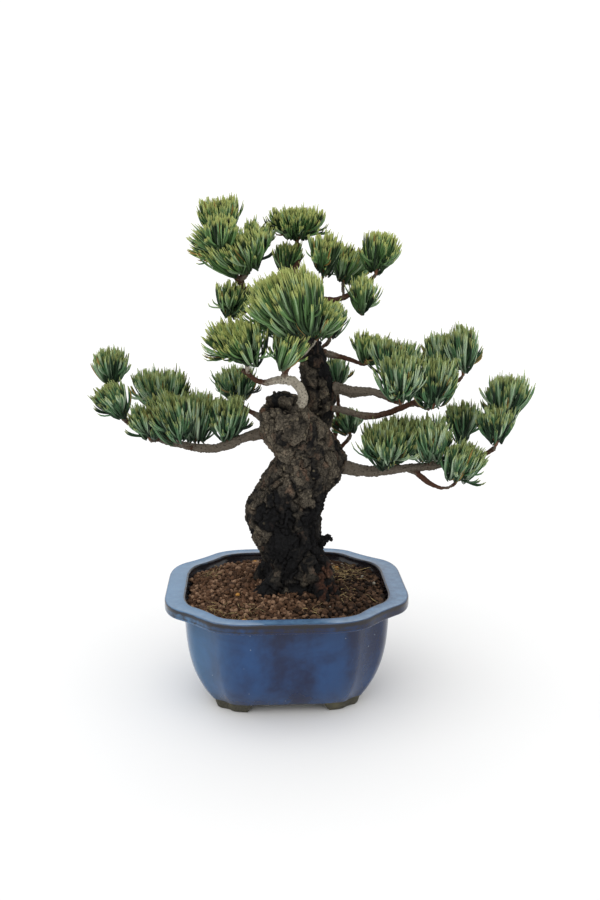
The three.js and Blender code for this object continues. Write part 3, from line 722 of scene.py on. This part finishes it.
def make_pot(pot):
    """The whole pot: body, rim and feet."""
    profile = pot_profile(pot)
    rings = []
    for inset, front, z, *_ in profile:
        outline = pot_outline(pot, inset, front)
        rings.append(np.column_stack([outline, np.full(len(outline), z)]))
    columns = len(rings[0])
    points = np.concatenate(rings)
    faces = quads_between(len(rings), columns)
    marks = np.repeat(np.array([ring[3:] for ring in profile], float), columns, 0)
    for level in (0, len(rings) - 1):  # underside and floor close on a point in the middle
        middle = len(points)
        points = np.vstack([points, [0, 0, profile[level][2]]])
        marks = np.vstack([marks, [0, 1, 0]])
        ring = level * columns + np.arange(columns)
        fan = np.stack([ring, np.roll(ring, -1), np.full(columns, middle), np.full(columns, middle)], 1)
        faces = np.concatenate([faces, fan[:, ::-1] if level == 0 else fan])
    for i, point in enumerate(points):  # thrown by hand, so a little uneven
        sway = noise.noise_vector(Vector(point) * 14) * 0.45 * MM
        hold = 1 if point[2] > pot.foot_height + MM else 0
        points[i] += np.array(sway) * hold * (0.5, 0.5, 0.35)
    body_count = len(points)
    for sign_x, sign_y in ((1, 1), (-1, 1), (-1, -1), (1, -1)):
        foot, foot_faces = corner_foot(pot, sign_x, sign_y)
        faces = np.concatenate([faces, foot_faces + len(points)])
        points = np.concatenate([points, foot])
    marks = np.vstack([marks, np.tile([0, 1, 0], (len(points) - body_count, 1))])
    mesh = bpy.data.meshes.new("fired_pot")
    loops = [list(dict.fromkeys(face)) for face in faces.tolist()]
    mesh.from_pydata((points + (POT_MIDDLE.x, POT_MIDDLE.y, 0)).tolist(), [], loops)
    for label, numbers in zip(("thin", "bare", "rim_top"), marks.T):
        mark(mesh, label, numbers)
    tidy = bmesh.new()
    tidy.from_mesh(mesh)
    bmesh.ops.recalc_face_normals(tidy, faces=tidy.faces)
    tidy.to_mesh(mesh)
    tidy.free()
    return mesh


def drill_holes(piece, pot):
    """Cuts the drain holes through the floor."""
    for side in (-1, 1):
        x = POT_MIDDLE.x + side * pot.drain_spacing / 2
        drill = bpy.data.meshes.new("drill")
        shape = bmesh.new()
        radius = pot.drain_hole / 2
        bmesh.ops.create_cone(
            shape, cap_ends=True, segments=48, radius1=radius, radius2=radius, depth=40 * MM
        )
        shape.to_mesh(drill)
        shape.free()
        tool = bpy.data.objects.new("drill", drill)
        tool.location = (x, POT_MIDDLE.y, pot.foot_height)
        bpy.context.scene.collection.objects.link(tool)
        cut = piece.modifiers.new("hole", "BOOLEAN")
        cut.operation, cut.object, cut.solver = "DIFFERENCE", tool, "EXACT"
        bpy.context.view_layer.update()
        applied(piece)
        bpy.data.objects.remove(tool)


class BONSAI_OT_pot(bpy.types.Operator):
    """Build the glazed pot with its rim, cove, belly, bracket feet and drain holes"""

    bl_idname = "bonsai.pot"
    bl_label = "Pot"

    def execute(self, context):
        pot = context.scene.bonsai_pot
        piece = bpy.data.objects.new("fired_pot", make_pot(pot))
        context.scene.collection.objects.link(piece)
        drill_holes(piece, pot)
        dressed(piece, glaze_finish(pot), ["pot"])
        return {"FINISHED"}


class BONSAI_OT_fittings(bpy.types.Operator):
    """Finish the drain screens, their wire clips and the drainage grit"""

    bl_idname = "bonsai.fittings"
    bl_label = "Drainage"

    def execute(self, context):
        looks = {
            "drain_screen": screen_finish(),
            "screen_clip": wire_finish(),
            "drainage_layer": grit_finish(),
        }
        for start, material in looks.items():
            for name in NODES:
                if name.startswith(start):
                    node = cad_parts[name]
                    node.data.materials.clear()
                    node.data.materials.append(material)
                    if start != "drainage_layer":
                        soften = node.modifiers.new("moulded edges", "BEVEL")
                        soften.width, soften.segments, soften.limit_method = 0.15 * MM, 2, "ANGLE"
        return {"FINISHED"}


# ---- Soil ----


def opening_halves(pot):
    """Half the width and half the depth of the opening at the rim's top."""
    half_x = (POT_HIGH.x - POT_LOW.x) / 2 - pot.rim_width
    half_y = (POT_HIGH.y - POT_LOW.y) / 2 - pot.rim_width_front
    return half_x, half_y


def soil_height(x, y, pot):
    """Height of the soil at a point from the pot's middle: a low mound, uneven as it was poured."""
    half_x, half_y = opening_halves(pot)
    out = min(math.hypot(x / half_x, y / half_y), 1.25)
    rise = SOIL_MOUND * (1 - out**1.6)
    swell = noise.noise(Vector((x * 45, y * 45, 3.1))) * 1.6 * MM
    bumps = noise.noise(Vector((x * 130, y * 130, 7))) * MM
    return SOIL_TOP - SOIL_MOUND + rise + (swell + bumps)


def soil_outline(pot, clear):
    """The pot's inside where the soil's surface meets it, moved in by a clearance."""
    side, front = inside_at(pot, SOIL_RECESS)
    return pot_outline(pot, side + clear, front + clear)


def inside_outline(points, outline):
    """Whether every point lies inside a closed outline that bulges round the middle."""
    angle = np.arctan2(outline[:, 1], outline[:, 0])
    order = np.argsort(angle)
    reach = np.hypot(*outline[order].T)
    limit = np.interp(np.arctan2(points[:, 1], points[:, 0]), angle[order], reach, period=2 * math.pi)
    return bool((np.hypot(*points.T) < limit).all())


def lumps(kinds, rng):
    """A few lumpy granules about 1 across, each as points, on the same faces."""
    ball = bmesh.new()
    bmesh.ops.create_icosphere(ball, subdivisions=2, radius=0.5)
    points = np.array([v.co for v in ball.verts])
    faces = np.array([[v.index for v in f.verts] for f in ball.faces])
    ball.free()
    shapes = []
    for _ in range(kinds):
        offset = Vector(rng.uniform(-50, 50, 3))
        swell = [1 + 0.42 * noise.noise(Vector(p) * 2.6 + offset) for p in points]
        flat = 1 + rng.uniform(-0.22, 0.22, 3)
        shapes.append(points * np.array(swell)[:, None] * flat)
    return shapes, faces


def random_turn(rng):
    """A random rotation as a matrix."""
    turn, _ = np.linalg.qr(rng.normal(size=(3, 3)))
    return turn * np.sign(np.linalg.det(turn))


def granules(soil, pot, layer, rng):
    """One layer of granules over the soil: points, faces and each point's tone."""
    shapes, ball = lumps(GRANULE_SHAPES, rng)
    half_x, half_y = opening_halves(pot)
    edge = soil_outline(pot, 0.2 * MM)
    pitch = soil.granule * 0.92
    points, faces, tones = [], [], []
    for row in range(int(-half_y / pitch) - 1, int(half_y / pitch) + 2):
        for column in range(int(-half_x / pitch) - 1, int(half_x / pitch) + 2):
            x = (column + 0.5 * ((row + layer) % 2) + rng.uniform(-0.32, 0.32)) * pitch
            y = (row * 0.88 + 0.4 * layer + rng.uniform(-0.32, 0.32)) * pitch
            if not inside_outline(np.array([[x, y]]), edge):
                continue
            if layer and rng.random() < 0.3:
                continue
            size = soil.granule * rng.choice([0.55, 0.8, 1.0, 1.15, 1.4], p=[0.16, 0.26, 0.3, 0.2, 0.08])
            z = soil_height(x, y, pot) + (0.62 * layer - 0.1 + rng.uniform(-0.12, 0.12)) * soil.granule
            tone = rng.random()
            special = rng.random()
            if layer and special > 0.9965:
                tone, size = CHIP_TONE, size * 1.3
            elif layer and special > 0.9925:
                tone, size = STONE_TONE, size * 1.1
            shape = shapes[rng.integers(len(shapes))] @ random_turn(rng) * size * (1, 1, 0.86)
            faces.append(ball + len(points) * len(shape))
            points.append(shape + (x, y, z))
            tones.append(np.full(len(shape), tone))
    placed = np.concatenate(points) + (POT_MIDDLE.x, POT_MIDDLE.y, 0)
    return placed, np.concatenate(faces), np.concatenate(tones)


def soil_bed(pot):
    """The packed soil under the loose granules: its points and faces."""
    points = []
    rings = np.linspace(0.02, 1, 46)
    outline = soil_outline(pot, 0)
    for share in rings:
        for x, y in outline * share:
            lump = abs(noise.noise(Vector((x, y, 0)) * 420)) * 2.2 * MM
            points.append((x, y, soil_height(x, y, pot) - 1.6 * MM + lump))
    skirt = [(x, y, POT_HIGH.z - 22 * MM) for x, y in soil_outline(pot, 6 * MM)]
    columns = len(outline)
    faces = quads_between(len(rings) + 1, columns)
    return np.array(points + skirt) + (POT_MIDDLE.x, POT_MIDDLE.y, 0), faces


def fibre(start, heading, reach, width, rng, drop, sides=4, steps=9):
    """A thin root or straw that lies on the soil in a loose curl: its rings of points."""
    spine = [np.array(start, float)]
    bend = rng.normal(size=3) * 0.35
    for _ in range(steps):
        heading = heading + bend * 0.4 + rng.normal(size=3) * 0.16
        heading[2] = heading[2] * 0.6 - drop
        heading /= np.linalg.norm(heading)
        spine.append(spine[-1] + heading * reach / steps)
    spine = np.array(spine)
    return tube(spine, width / 2 * np.linspace(1, 0.45, len(spine)), sides)


def tube(spine, radii, sides):
    """Rings of points round a line, open at both ends, and their faces."""
    travel = np.gradient(spine, axis=0)
    travel /= np.linalg.norm(travel, axis=1, keepdims=True)
    side = np.cross(travel, (0.31, 0.17, 0.93))
    side /= np.maximum(np.linalg.norm(side, axis=1, keepdims=True), 1e-9)
    up = np.cross(travel, side)
    angle = np.arange(sides) / sides * 2 * math.pi
    ring = side[:, None] * np.cos(angle)[None, :, None] + up[:, None] * np.sin(angle)[None, :, None]
    points = spine[:, None] + ring * np.asarray(radii)[:, None, None]
    return points.reshape(-1, 3), quads_between(len(spine), sides)


def gathered(parts):
    """Joins points and faces of several parts into one."""
    points, faces, count = [], [], 0
    for some_points, some_faces in parts:
        faces.append(some_faces + count)
        points.append(some_points)
        count += len(some_points)
    return np.concatenate(points), np.concatenate(faces)


class BONSAI_OT_soil(bpy.types.Operator):
    """Fill the pot with packed soil, loose granules, dead moss and hair roots"""

    bl_idname = "bonsai.soil"
    bl_label = "Soil"

    def execute(self, context):
        soil, pot = context.scene.bonsai_soil, context.scene.bonsai_pot
        rng = np.random.default_rng(SOIL_SEED)
        look = soil_finish("clay granules", soil)
        points, faces = soil_bed(pot)
        dark = {"tone": np.full(len(points), 0.1)}
        new_piece("soil_bed", points, faces, look, ["soil"], dark)
        for layer in range(soil.layers):
            points, faces, tones = granules(soil, pot, layer, rng)
            half = points[:, 0].mean()
            mask = points[faces[:, 0], 0] < half
            for side, kept in (("left", mask), ("right", ~mask)):
                used, renamed = np.unique(faces[kept], return_inverse=True)
                new_piece(
                    f"soil_granules_{layer}_{side}",
                    points[used],
                    renamed.reshape(-1, 3),
                    look,
                    values={"tone": tones[used]},
                )
        # Tufts of dry moss and hair roots: where from the pot's middle, how wide, how many.
        tufts = [(-62, -52, 22, 46), (-30, -61, 16, 26), (-66, 34, 8, 22), (22, -56, 12, 12)]
        tufts += [(52, 22, 15, 60), (40, 34, 12, 44), (66, 40, 16, 26), (60, -20, 22, 14), (-6, 54, 18, 18)]
        strands, brink = [], soil_outline(pot, 1 * MM)
        for x, y, spread, count in tufts:
            for _ in range(count):
                at = np.array((x, y)) * MM + rng.normal(size=2) * spread * 0.45 * MM
                z = soil_height(*at, pot) + soil.granule * rng.uniform(0.55, 1.1)
                start = (at[0] + POT_MIDDLE.x, at[1] + POT_MIDDLE.y, z)
                heading = rng.normal(size=3) * (1, 1, 0.25)
                strand = fibre(start, heading, rng.uniform(7, 17) * MM, rng.uniform(0.5, 0.9) * MM, rng, 0.06)
                if inside_outline(strand[0][:, :2] - (POT_MIDDLE.x, POT_MIDDLE.y), brink):
                    strands.append(strand)
        points, faces = gathered(strands)
        new_piece("dry_moss", points, faces, straw_finish(soil))
        return {"FINISHED"}


# ---- Wood ----


def cell_number(cell, seed):
    """A steady random number from 0 to 1 for a cell's middle."""
    return (math.sin(cell.x * 12.9898 + cell.y * 78.233 + cell.z * 37.719 + seed) * 43758.5453) % 1


def cell_lean(cell, seeds):
    """A steady random lean for a cell, from one seed for each axis."""
    return Vector([cell_number(cell, seed) - 0.5 for seed in seeds])


def smoothstep(value, low, high):
    t = min(max((value - low) / (high - low), 0), 1)
    return t * t * (3 - 2 * t)


def bark_relief(point, bark):
    """How far the bark stands out at a point, with its crack, plate and flake numbers."""
    p = Vector(point)
    warp = noise.noise_vector(p * 55) * 0.6 + noise.noise_vector(p * 160) * 0.24
    size = bark.plate
    q = Vector((p.x / size, p.y / size, p.z / (size * 1.5))) + warp
    (near, next_near, *_), (cell, *_) = noise.voronoi(q, distance_metric="MANHATTAN")
    gap = next_near - near
    plate = cell_number(cell, 1.7)
    split = 1 - smoothstep(gap, 0.0, 0.06 + 0.1 * plate)
    tilt = cell_lean(cell, (4.1, 8.3, 2.9))
    high = (0.6 + 0.5 * plate + 0.75 * tilt.dot(q - cell)) * (1 - split)
    small = bark.flake
    r = Vector((p.x / small, p.y / small, p.z / (small * 1.35))) + warp * 1.4 + Vector((7, 3, 5))
    (a, b, *_), (chip, *_) = noise.voronoi(r, distance_metric="CHEBYCHEV")
    flake = cell_number(chip, 5.3)
    nick = 1 - smoothstep(b - a, 0.0, 0.2)
    lean = cell_lean(chip, (3.3, 6.1, 9.7))
    scale = 0.3 * round(flake * 3) / 3 + 0.4 * lean.dot(r - chip) - 0.15 * nick
    rough = noise.fractal(p * 480, 0.8, 2.2, 4) * 0.26
    deep = noise.noise(p * 28) * 0.4
    out = bark.plate_height * (high - 0.55 + scale + rough + deep)
    return out, max(split, nick * 0.55), plate, flake


def old_cut(point, bark):
    """How far a point lies in the slit of the old cut on the shoulder's front, and on the lip over it."""
    across = (point[0] - POT_MIDDLE.x + CUT_FROM_MIDDLE) / (bark.cut_width / 2)
    above = (point[2] - SOIL_TOP - bark.cut_height) / MM + CUT_BOW * across**2
    reach = (1 - smoothstep(abs(across), 0.75, 1.1)) * (point[1] < POT_MIDDLE.y - 6 * MM)
    slit = 1 - smoothstep(abs(above), 0.9, 2.4)
    lip = 1 - smoothstep(abs(above - 4.5), 1.2, 3.4)
    return slit * reach, lip * reach


class BONSAI_OT_trunk(bpy.types.Operator):
    """Grow plated bark over the trunk, its surface roots and the dead stub"""

    bl_idname = "bonsai.trunk"
    bl_label = "Trunk"

    def execute(self, context):
        bark = context.scene.bonsai_bark
        piece = regrown("bark_trunk", "trunk", 0.95 * MM, 6)
        buried = bmesh.new()
        buried.from_mesh(piece.data)
        deep = [v for v in buried.verts if v.co.z < SOIL_TOP - 15 * MM]
        bmesh.ops.delete(buried, geom=deep, context="VERTS")
        buried.to_mesh(piece.data)
        buried.free()
        points, normals = points_of(piece.data), points_of(piece.data, "normal")
        foot_x = POT_MIDDLE.x + 12 * MM
        marks, moved = [], np.empty(len(points))
        for i, p in enumerate(points):
            out, crack, plate, flake = bark_relief(p, bark)
            height = (p[2] - SOIL_TOP) / MM
            thin = smoothstep(height, 175, 250)  # the young top is smoother
            slit, lip = old_cut(p, bark)
            moved[i] = out * (1 - 0.6 * thin) - SLIT_DEPTH * slit + LIP_HEIGHT * lip
            # Painted shade: the slit is painted as black as a crack, for the shade deep in it.
            crack = max(crack, slit)
            # Painted light: the shoulder's bulge and the trunk's left side are painted paler, as where light
            # falls on them, with some random pale patches.
            bulge = smoothstep(height, 84, 104) * (1 - 0.75 * smoothstep(height, 160, 185))
            left = smoothstep(-(p[0] - foot_x) / MM, 14, 34) * smoothstep(height, 12, 40)
            patch = smoothstep(noise.noise(Vector(p) * 30 + Vector((5, 2, 9))), 0.1, 0.5)
            lit = min(0.02 + 0.6 * bulge + 0.34 * left + 0.18 * patch, 1)
            root = (1 - smoothstep(height, 18, 34)) * smoothstep((p[0] - foot_x) / MM, 6, 20) * (p[1] < 0)
            warm = 0.14 + 0.42 * root + 0.1 * left + 0.14 * bulge
            marks.append((crack * (1 - 0.3 * thin), plate, flake, lit, warm))
        push_out(piece.data, points, normals, moved)
        for label, numbers in zip(("crack", "plate", "flake", "lit", "warm"), np.array(marks).T):
            mark(piece.data, label, numbers)
        dressed(piece, trunk_finish(bark), ["trunk"])
        return {"FINISHED"}


class BONSAI_OT_branches(bpy.types.Operator):
    """Grow the branches and twigs with scaly bark"""

    bl_idname = "bonsai.branches"
    bl_label = "Branches"

    def execute(self, context):
        bark = context.scene.bonsai_bark
        aged = branch_finish("branch bark", bark, bark.branch_grey)
        pale = branch_finish("pale branch bark", bark, bark.pale_grey)
        for node in BRANCHES:
            piece = regrown(node.replace("branch_", "bark_"), node, 0.6 * MM, 5)
            points, normals = points_of(piece.data), points_of(piece.data, "normal")
            tree = kdtree.KDTree(len(points))
            for i, p in enumerate(points):
                tree.insert(p, i)
            tree.balance()
            girth = np.empty(len(points))
            moved = np.empty(len(points))
            for i, (p, n) in enumerate(zip(points, normals)):
                # The far side is looked for a few steps under the surface: a thick stem has none near.
                depth = Vector(p) - Vector(n) * 4.6 * MM
                girth[i] = tree.find(depth)[2] / (2.2 * MM)
                scaly = noise.voronoi(Vector((p[0] * 330, p[1] * 330, p[2] * 260)))[0]
                rough = noise.fractal(Vector(p) * 260, 0.8, 2.1, 3)
                lump = noise.noise(Vector(p) * 75)
                scale = smoothstep(scaly[1] - scaly[0], 0, 0.25)
                moved[i] = (0.6 * scale + 0.6 * rough + 1.5 * lump - 0.9) * MM
            moved *= 0.35 + 0.65 * np.clip(girth, 0, 1)
            push_out(piece.data, points, normals, moved)
            mark(piece.data, "girth", np.clip(girth, 0, 1))
            dressed(piece, pale if node.split("_")[1] == "front" else aged, [node])
        return {"FINISHED"}


# ---- Needles ----


class Envelope:
    """Where a brush of needles begins, which way it points and how wide it spreads."""

    def __init__(self, node):
        points = points_of(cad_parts[node].data)
        lowest = points[points[:, 2].argmin()]
        self.base = points[np.linalg.norm(points - lowest, axis=1) < 6 * MM].mean(0)
        self.axis = points.mean(0) - self.base
        self.axis /= np.linalg.norm(self.axis)
        reach = (points - self.base) @ self.axis
        self.length = reach.max()
        across = np.cross(self.axis, (0, 1, 0))
        across /= np.linalg.norm(across)
        deep = np.cross(self.axis, across)
        wide = points[reach > 0.4 * self.length] - self.base
        flat = np.stack([wide @ across, wide @ deep], 1)
        spread = flat - flat.mean(0)
        _, turns = np.linalg.eigh(spread.T @ spread)
        major, minor = turns[:, 1], turns[:, 0]
        self.side = across * major[0] + deep * major[1]
        self.up = across * minor[0] + deep * minor[1]
        self.half_width = np.ptp(spread @ major) / 2
        self.half_depth = np.ptp(spread @ minor) / 2


def shoots_of(envelope, rng):
    """Each shoot of a brush: its middle across the axis, its own spread, and where along it starts."""
    width, depth = envelope.half_width, envelope.half_depth
    if width > 1.35 * depth:  # a flat pad: its shoots stand in a row
        reach = depth * 1.02
        spots = np.linspace(-1, 1, 4 if width > 26 * MM else 3)
        return [
            (spot * (width - reach), rng.uniform(-0.1, 0.1) * depth, reach, rng.uniform(0, 0.12))
            for spot in spots
        ]
    # A round one: three shoots or two stand in a ring, or one fills it.
    for least, share, turns, late in (
        (14.5 * MM, 0.66, (0, 2.2, 4.2), 0.14),
        (11.5 * MM, 0.76, (0, math.pi), 0.12),
    ):
        if width > least:
            reach = width * share
            start = rng.uniform(0, math.pi)
            return [
                (math.cos(a) * (width - reach), math.sin(a) * (depth - reach), reach, rng.uniform(0, late))
                for a in (start + turn for turn in turns)
            ]
    return [(0, 0, width, 0)]


def with_fillers(shoots, envelope):
    """The shoots of a brush and, between and below them, shorter ones that close up the pad."""
    low = [
        (x + way * 0.55 * reach, y, reach * 0.6, late - 0.12)
        for x, y, reach, late in shoots
        for way in (-1, 1)
    ]
    limit = envelope.half_width
    return shoots + [shoot for shoot in low if abs(shoot[0]) < limit * 0.8]


def curve_points(ends, steps):
    """Points along many cubic curves at once: ends is 4 arrays of n x 3."""
    t = np.linspace(0, 1, steps)[None, :, None]
    a, b, c, d = (end[:, None] for end in ends)
    return a * (1 - t) ** 3 + 3 * b * t * (1 - t) ** 2 + 3 * c * t**2 * (1 - t) + d * t**3


def needle_bundle(shoot, envelope, bundles, rng):
    """The curves of one shoot's needles, bundle by bundle, and each needle's bundle."""
    x, y, reach, late = shoot
    axis, side, up = envelope.axis, envelope.side, envelope.up
    middle = envelope.side * x + envelope.up * y
    count = max(int(bundles * (reach / (15 * MM)) ** 1.4), 14)
    out = rng.random(count) ** 0.62
    wild = rng.random(count) < 0.1
    out[wild] = rng.uniform(1.0, 1.3, wild.sum())
    turn = np.arange(count) * GOLDEN_ANGLE + rng.uniform(0, 0.5, count)
    lateral = np.cos(turn)[:, None] * side + np.sin(turn)[:, None] * up
    tall = envelope.length
    tip_height = tall * (rng.uniform(0.78, 1.1, count) - 0.2 * out**3)
    tip_height[wild] = tall * rng.uniform(0.38, 0.8, wild.sum())
    up_shoot = (0.02 + late + rng.uniform(0, 0.3, count) * (1 - 0.5 * out)) * tall
    start = envelope.base + middle * 0.6 + axis * up_shoot[:, None] + lateral * 0.7 * MM
    tip = envelope.base + middle + axis * tip_height[:, None] + lateral * (out * reach)[:, None]
    needles = rng.integers(4, 6, count)
    bundle = np.repeat(np.arange(count), needles)
    looseness = rng.choice([0.6, 1.2, 2.6], count, p=[0.45, 0.35, 0.2])[bundle][:, None] * MM
    tip = tip[bundle] + rng.normal(size=(len(bundle), 3)) * looseness
    start = start[bundle] + rng.normal(size=(len(bundle), 3)) * 0.25 * MM
    lateral, out = lateral[bundle], out[bundle][:, None]
    span = np.linalg.norm(tip - start, axis=1, keepdims=True)
    leave = axis * (1 - 0.35 * out) + lateral * (0.1 + 0.75 * out)
    leave /= np.linalg.norm(leave, axis=1, keepdims=True)
    arrive = axis + lateral * 0.3 * out + rng.normal(size=(len(bundle), 3)) * 0.07
    arrive /= np.linalg.norm(arrive, axis=1, keepdims=True)
    return (start, start + leave * span * 0.36, tip - arrive * span * 0.36, tip), bundle, wild[bundle]


def needle_strips(spines, width):
    """Three-sided tapering needles round many curves at once: points and faces."""
    count, steps, _ = spines.shape
    travel = np.gradient(spines, axis=1)
    travel /= np.linalg.norm(travel, axis=2, keepdims=True)
    around = np.array((0.5, 0.8, 0.33))
    side = np.cross(travel, around)
    side /= np.maximum(np.linalg.norm(side, axis=2, keepdims=True), 1e-9)
    up = np.cross(travel, side)
    angle = (np.arange(NEEDLE_SIDES) / NEEDLE_SIDES + np.linspace(0, 7, count)[:, None]) * 2 * math.pi
    cos, sin = (wave[:, None, :, None] for wave in (np.cos(angle), np.sin(angle)))
    ring = side[:, :, None] * cos + up[:, :, None] * sin
    taper = np.interp(np.linspace(0, 1, steps), [0, 0.12, 0.7, 0.94, 1], [0.55, 0.95, 1, 0.85, 0.3])
    points = spines[:, :, None] + ring * (width[:, None] * taper[None])[:, :, None, None]
    first = np.arange(count) * steps * NEEDLE_SIDES
    faces = quads_between(steps, NEEDLE_SIDES)[None] + first[:, None, None]
    return points.reshape(-1, 3), faces.reshape(-1, 4)


def brush(node, needles, rng):
    """All needles and shoots of one brush: points, faces, tone and distance along."""
    envelope = Envelope(node)
    parts, tones, alongs = [], [], []
    for x, y, reach, late in with_fillers(shoots_of(envelope, rng), envelope):
        shoot = (x, y, reach * needles.spread, late)
        ends, bundle, wild = needle_bundle(shoot, envelope, needles.bundles, rng)
        spines = curve_points(ends, NEEDLE_STEPS)
        width = needles.needle_width * 0.58 * rng.uniform(0.75, 1.15, len(bundle))
        parts.append(needle_strips(spines, width))
        tone = rng.uniform(0.0, 0.72, bundle.max() + 1)[bundle] + rng.uniform(-0.1, 0.19, len(bundle))
        turned = rng.random(len(bundle)) < np.where(wild, 0.05, 0.004)
        tone = np.where(turned, DEAD_TONE, tone)
        tones.append(np.repeat(tone, NEEDLE_STEPS * NEEDLE_SIDES))
        alongs.append(np.tile(np.repeat(np.linspace(0, 1, NEEDLE_STEPS), NEEDLE_SIDES), len(bundle)))
        foot = envelope.base - envelope.axis * 2 * MM
        head = envelope.base + (envelope.side * x + envelope.up * y) * 0.6
        head = head + envelope.axis * (0.3 + late) * envelope.length
        bend = foot + envelope.axis * np.dot(head - foot, envelope.axis) * 0.45
        ends = [np.array([p]) for p in (foot, bend, head - envelope.axis * 3 * MM, head)]
        spine = curve_points(ends, SHOOT_STEPS)[0]
        radii = needles.shoot_width / 2 * np.linspace(1, 0.5, SHOOT_STEPS)
        parts.append(tube(spine, radii, SHOOT_SIDES))
        tones.append(np.full(SHOOT_STEPS * SHOOT_SIDES, WOOD_TONE))
        alongs.append(np.repeat(np.linspace(0, 1, SHOOT_STEPS), SHOOT_SIDES))
    points, faces = gathered(parts)
    return points, faces, np.concatenate(tones), np.concatenate(alongs)


class BONSAI_OT_needles(bpy.types.Operator):
    """Grow every brush of needles on its shoots"""

    bl_idname = "bonsai.needles"
    bl_label = "Needles"

    def execute(self, context):
        needles = context.scene.bonsai_needles
        fresh = needle_finish("fresh needles", needles, needles.fresh_needle, 0.5, 0.75)
        green = needle_finish("green needles", needles, needles.green_needle, 0.85, 0.45)
        for i, node in enumerate(BRUSHES):
            rng = np.random.default_rng(NEEDLE_SEED + i)
            points, faces, tone, along = brush(node, needles, rng)
            look = fresh if node.split("_")[1] in ("front", "crown") else green
            values = {"tone": tone, "along": along}
            name = node.replace("needles_", "brush_")
            piece = new_piece(name, points, faces, look, [node], values)
            lay_out_needles(piece.data, tone, along)
        return {"FINISHED"}


def lay_out_needles(mesh, tone, along):
    """A flat layout in which a needle lies by its tone across and its length along."""
    layout = mesh.uv_layers.new(name="OFBake")
    corners = np.empty(len(mesh.loops), np.int32)
    mesh.loops.foreach_get("vertex_index", corners)
    across = tone[corners] * 0.98 + (corners % NEEDLE_SIDES) * 0.006
    layout.data.foreach_set("uv", np.stack([across, along[corners]], 1).astype(np.float32).ravel())


# ---- Stage ----


class BONSAI_OT_stage(bpy.types.Operator):
    """Set the pale floor, the soft light and the camera"""

    bl_idname = "bonsai.stage"
    bl_label = "Stage"

    def execute(self, context):
        stage = context.scene.bonsai_stage
        mesh = bpy.data.meshes.new("studio_floor")
        corners = [(x * FLOOR_HALF, y * FLOOR_HALF, 0) for x, y in ((-1, -1), (1, -1), (1, 1), (-1, 1))]
        mesh.from_pydata(corners, [], [(0, 1, 2, 3)])
        floor = bpy.data.objects.new("studio_floor", mesh)
        context.scene.collection.objects.link(floor)
        paper = Finish("white paper")
        mesh.materials.append(paper.surface({"Base Color": (*stage.floor_colour, 1), "Roughness": 1.0}))
        world = bpy.data.worlds.new("studio")
        world.use_nodes = True
        world.node_tree.nodes["Background"].inputs["Color"].default_value = (1, 1, 1, 1)
        world.node_tree.nodes["Background"].inputs["Strength"].default_value = stage.sky
        context.scene.world = world
        # Each soft light: where it comes from, how wide it is in degrees, its share of the key's strength.
        lights = [("key", (-0.5, -0.5, 1.3), 70, 1.0), ("fill", (1.3, -0.7, 0.8), 50, 0.25)]
        for name, heading, width, share in lights:
            light = bpy.data.lights.new(name, "SUN")
            light.angle, light.energy = math.radians(width), stage.key * share
            lamp = bpy.data.objects.new(name, light)
            lamp.rotation_euler = Vector(heading).to_track_quat("Z", "Y").to_euler()
            context.scene.collection.objects.link(lamp)
        camera = bpy.data.objects.new("camera", bpy.data.cameras.new("camera"))
        camera.data.lens, camera.data.sensor_width = stage.lens, 36.0
        camera.location = (POT_MIDDLE.x + CAMERA_SIDE, POT_MIDDLE.y + CAMERA_BACK, CAMERA_HEIGHT)
        camera.rotation_euler = (math.pi / 2 - CAMERA_DOWN, 0, CAMERA_TURN)
        context.scene.collection.objects.link(camera)
        context.scene.camera = camera
        context.scene.view_settings.view_transform = "Standard"
        return {"FINISHED"}


OPERATORS = [
    BONSAI_OT_pot,
    BONSAI_OT_fittings,
    BONSAI_OT_soil,
    BONSAI_OT_trunk,
    BONSAI_OT_branches,
    BONSAI_OT_needles,
    BONSAI_OT_stage,
]


class BONSAI_PT_panel(bpy.types.Panel):
    """Sizes, colours and steps of the potted pine"""

    bl_idname = "BONSAI_PT_panel"
    bl_label = "Potted Pine"
    bl_space_type = "VIEW_3D"
    bl_region_type = "UI"
    bl_category = "Bonsai"

    def draw(self, context):
        for group, settings in SETTINGS.items():
            box = self.layout.box()
            box.label(text=settings.__doc__)
            for name in settings.__annotations__:
                box.prop(getattr(context.scene, group), name)
        for operator in OPERATORS:
            self.layout.operator(operator.bl_idname)


def register():
    for group, settings in SETTINGS.items():
        bpy.utils.register_class(settings)
        setattr(bpy.types.Scene, group, bpy.props.PointerProperty(type=settings))
    for kind in [*OPERATORS, BONSAI_PT_panel]:
        bpy.utils.register_class(kind)


def unregister():
    for kind in [BONSAI_PT_panel, *reversed(OPERATORS)]:
        bpy.utils.unregister_class(kind)
    for group, settings in reversed(SETTINGS.items()):
        delattr(bpy.types.Scene, group)
        bpy.utils.unregister_class(settings)


def main():
    """Builds every piece in order and records the sizes of the solids and of the dressed tree."""
    register()
    bpy.ops.bonsai.pot()
    bpy.ops.bonsai.fittings()
    bpy.ops.bonsai.soil()
    bpy.ops.bonsai.trunk()
    bpy.ops.bonsai.branches()
    bpy.ops.bonsai.needles()
    bpy.ops.bonsai.stage()


if __name__ == "__main__":
    main()
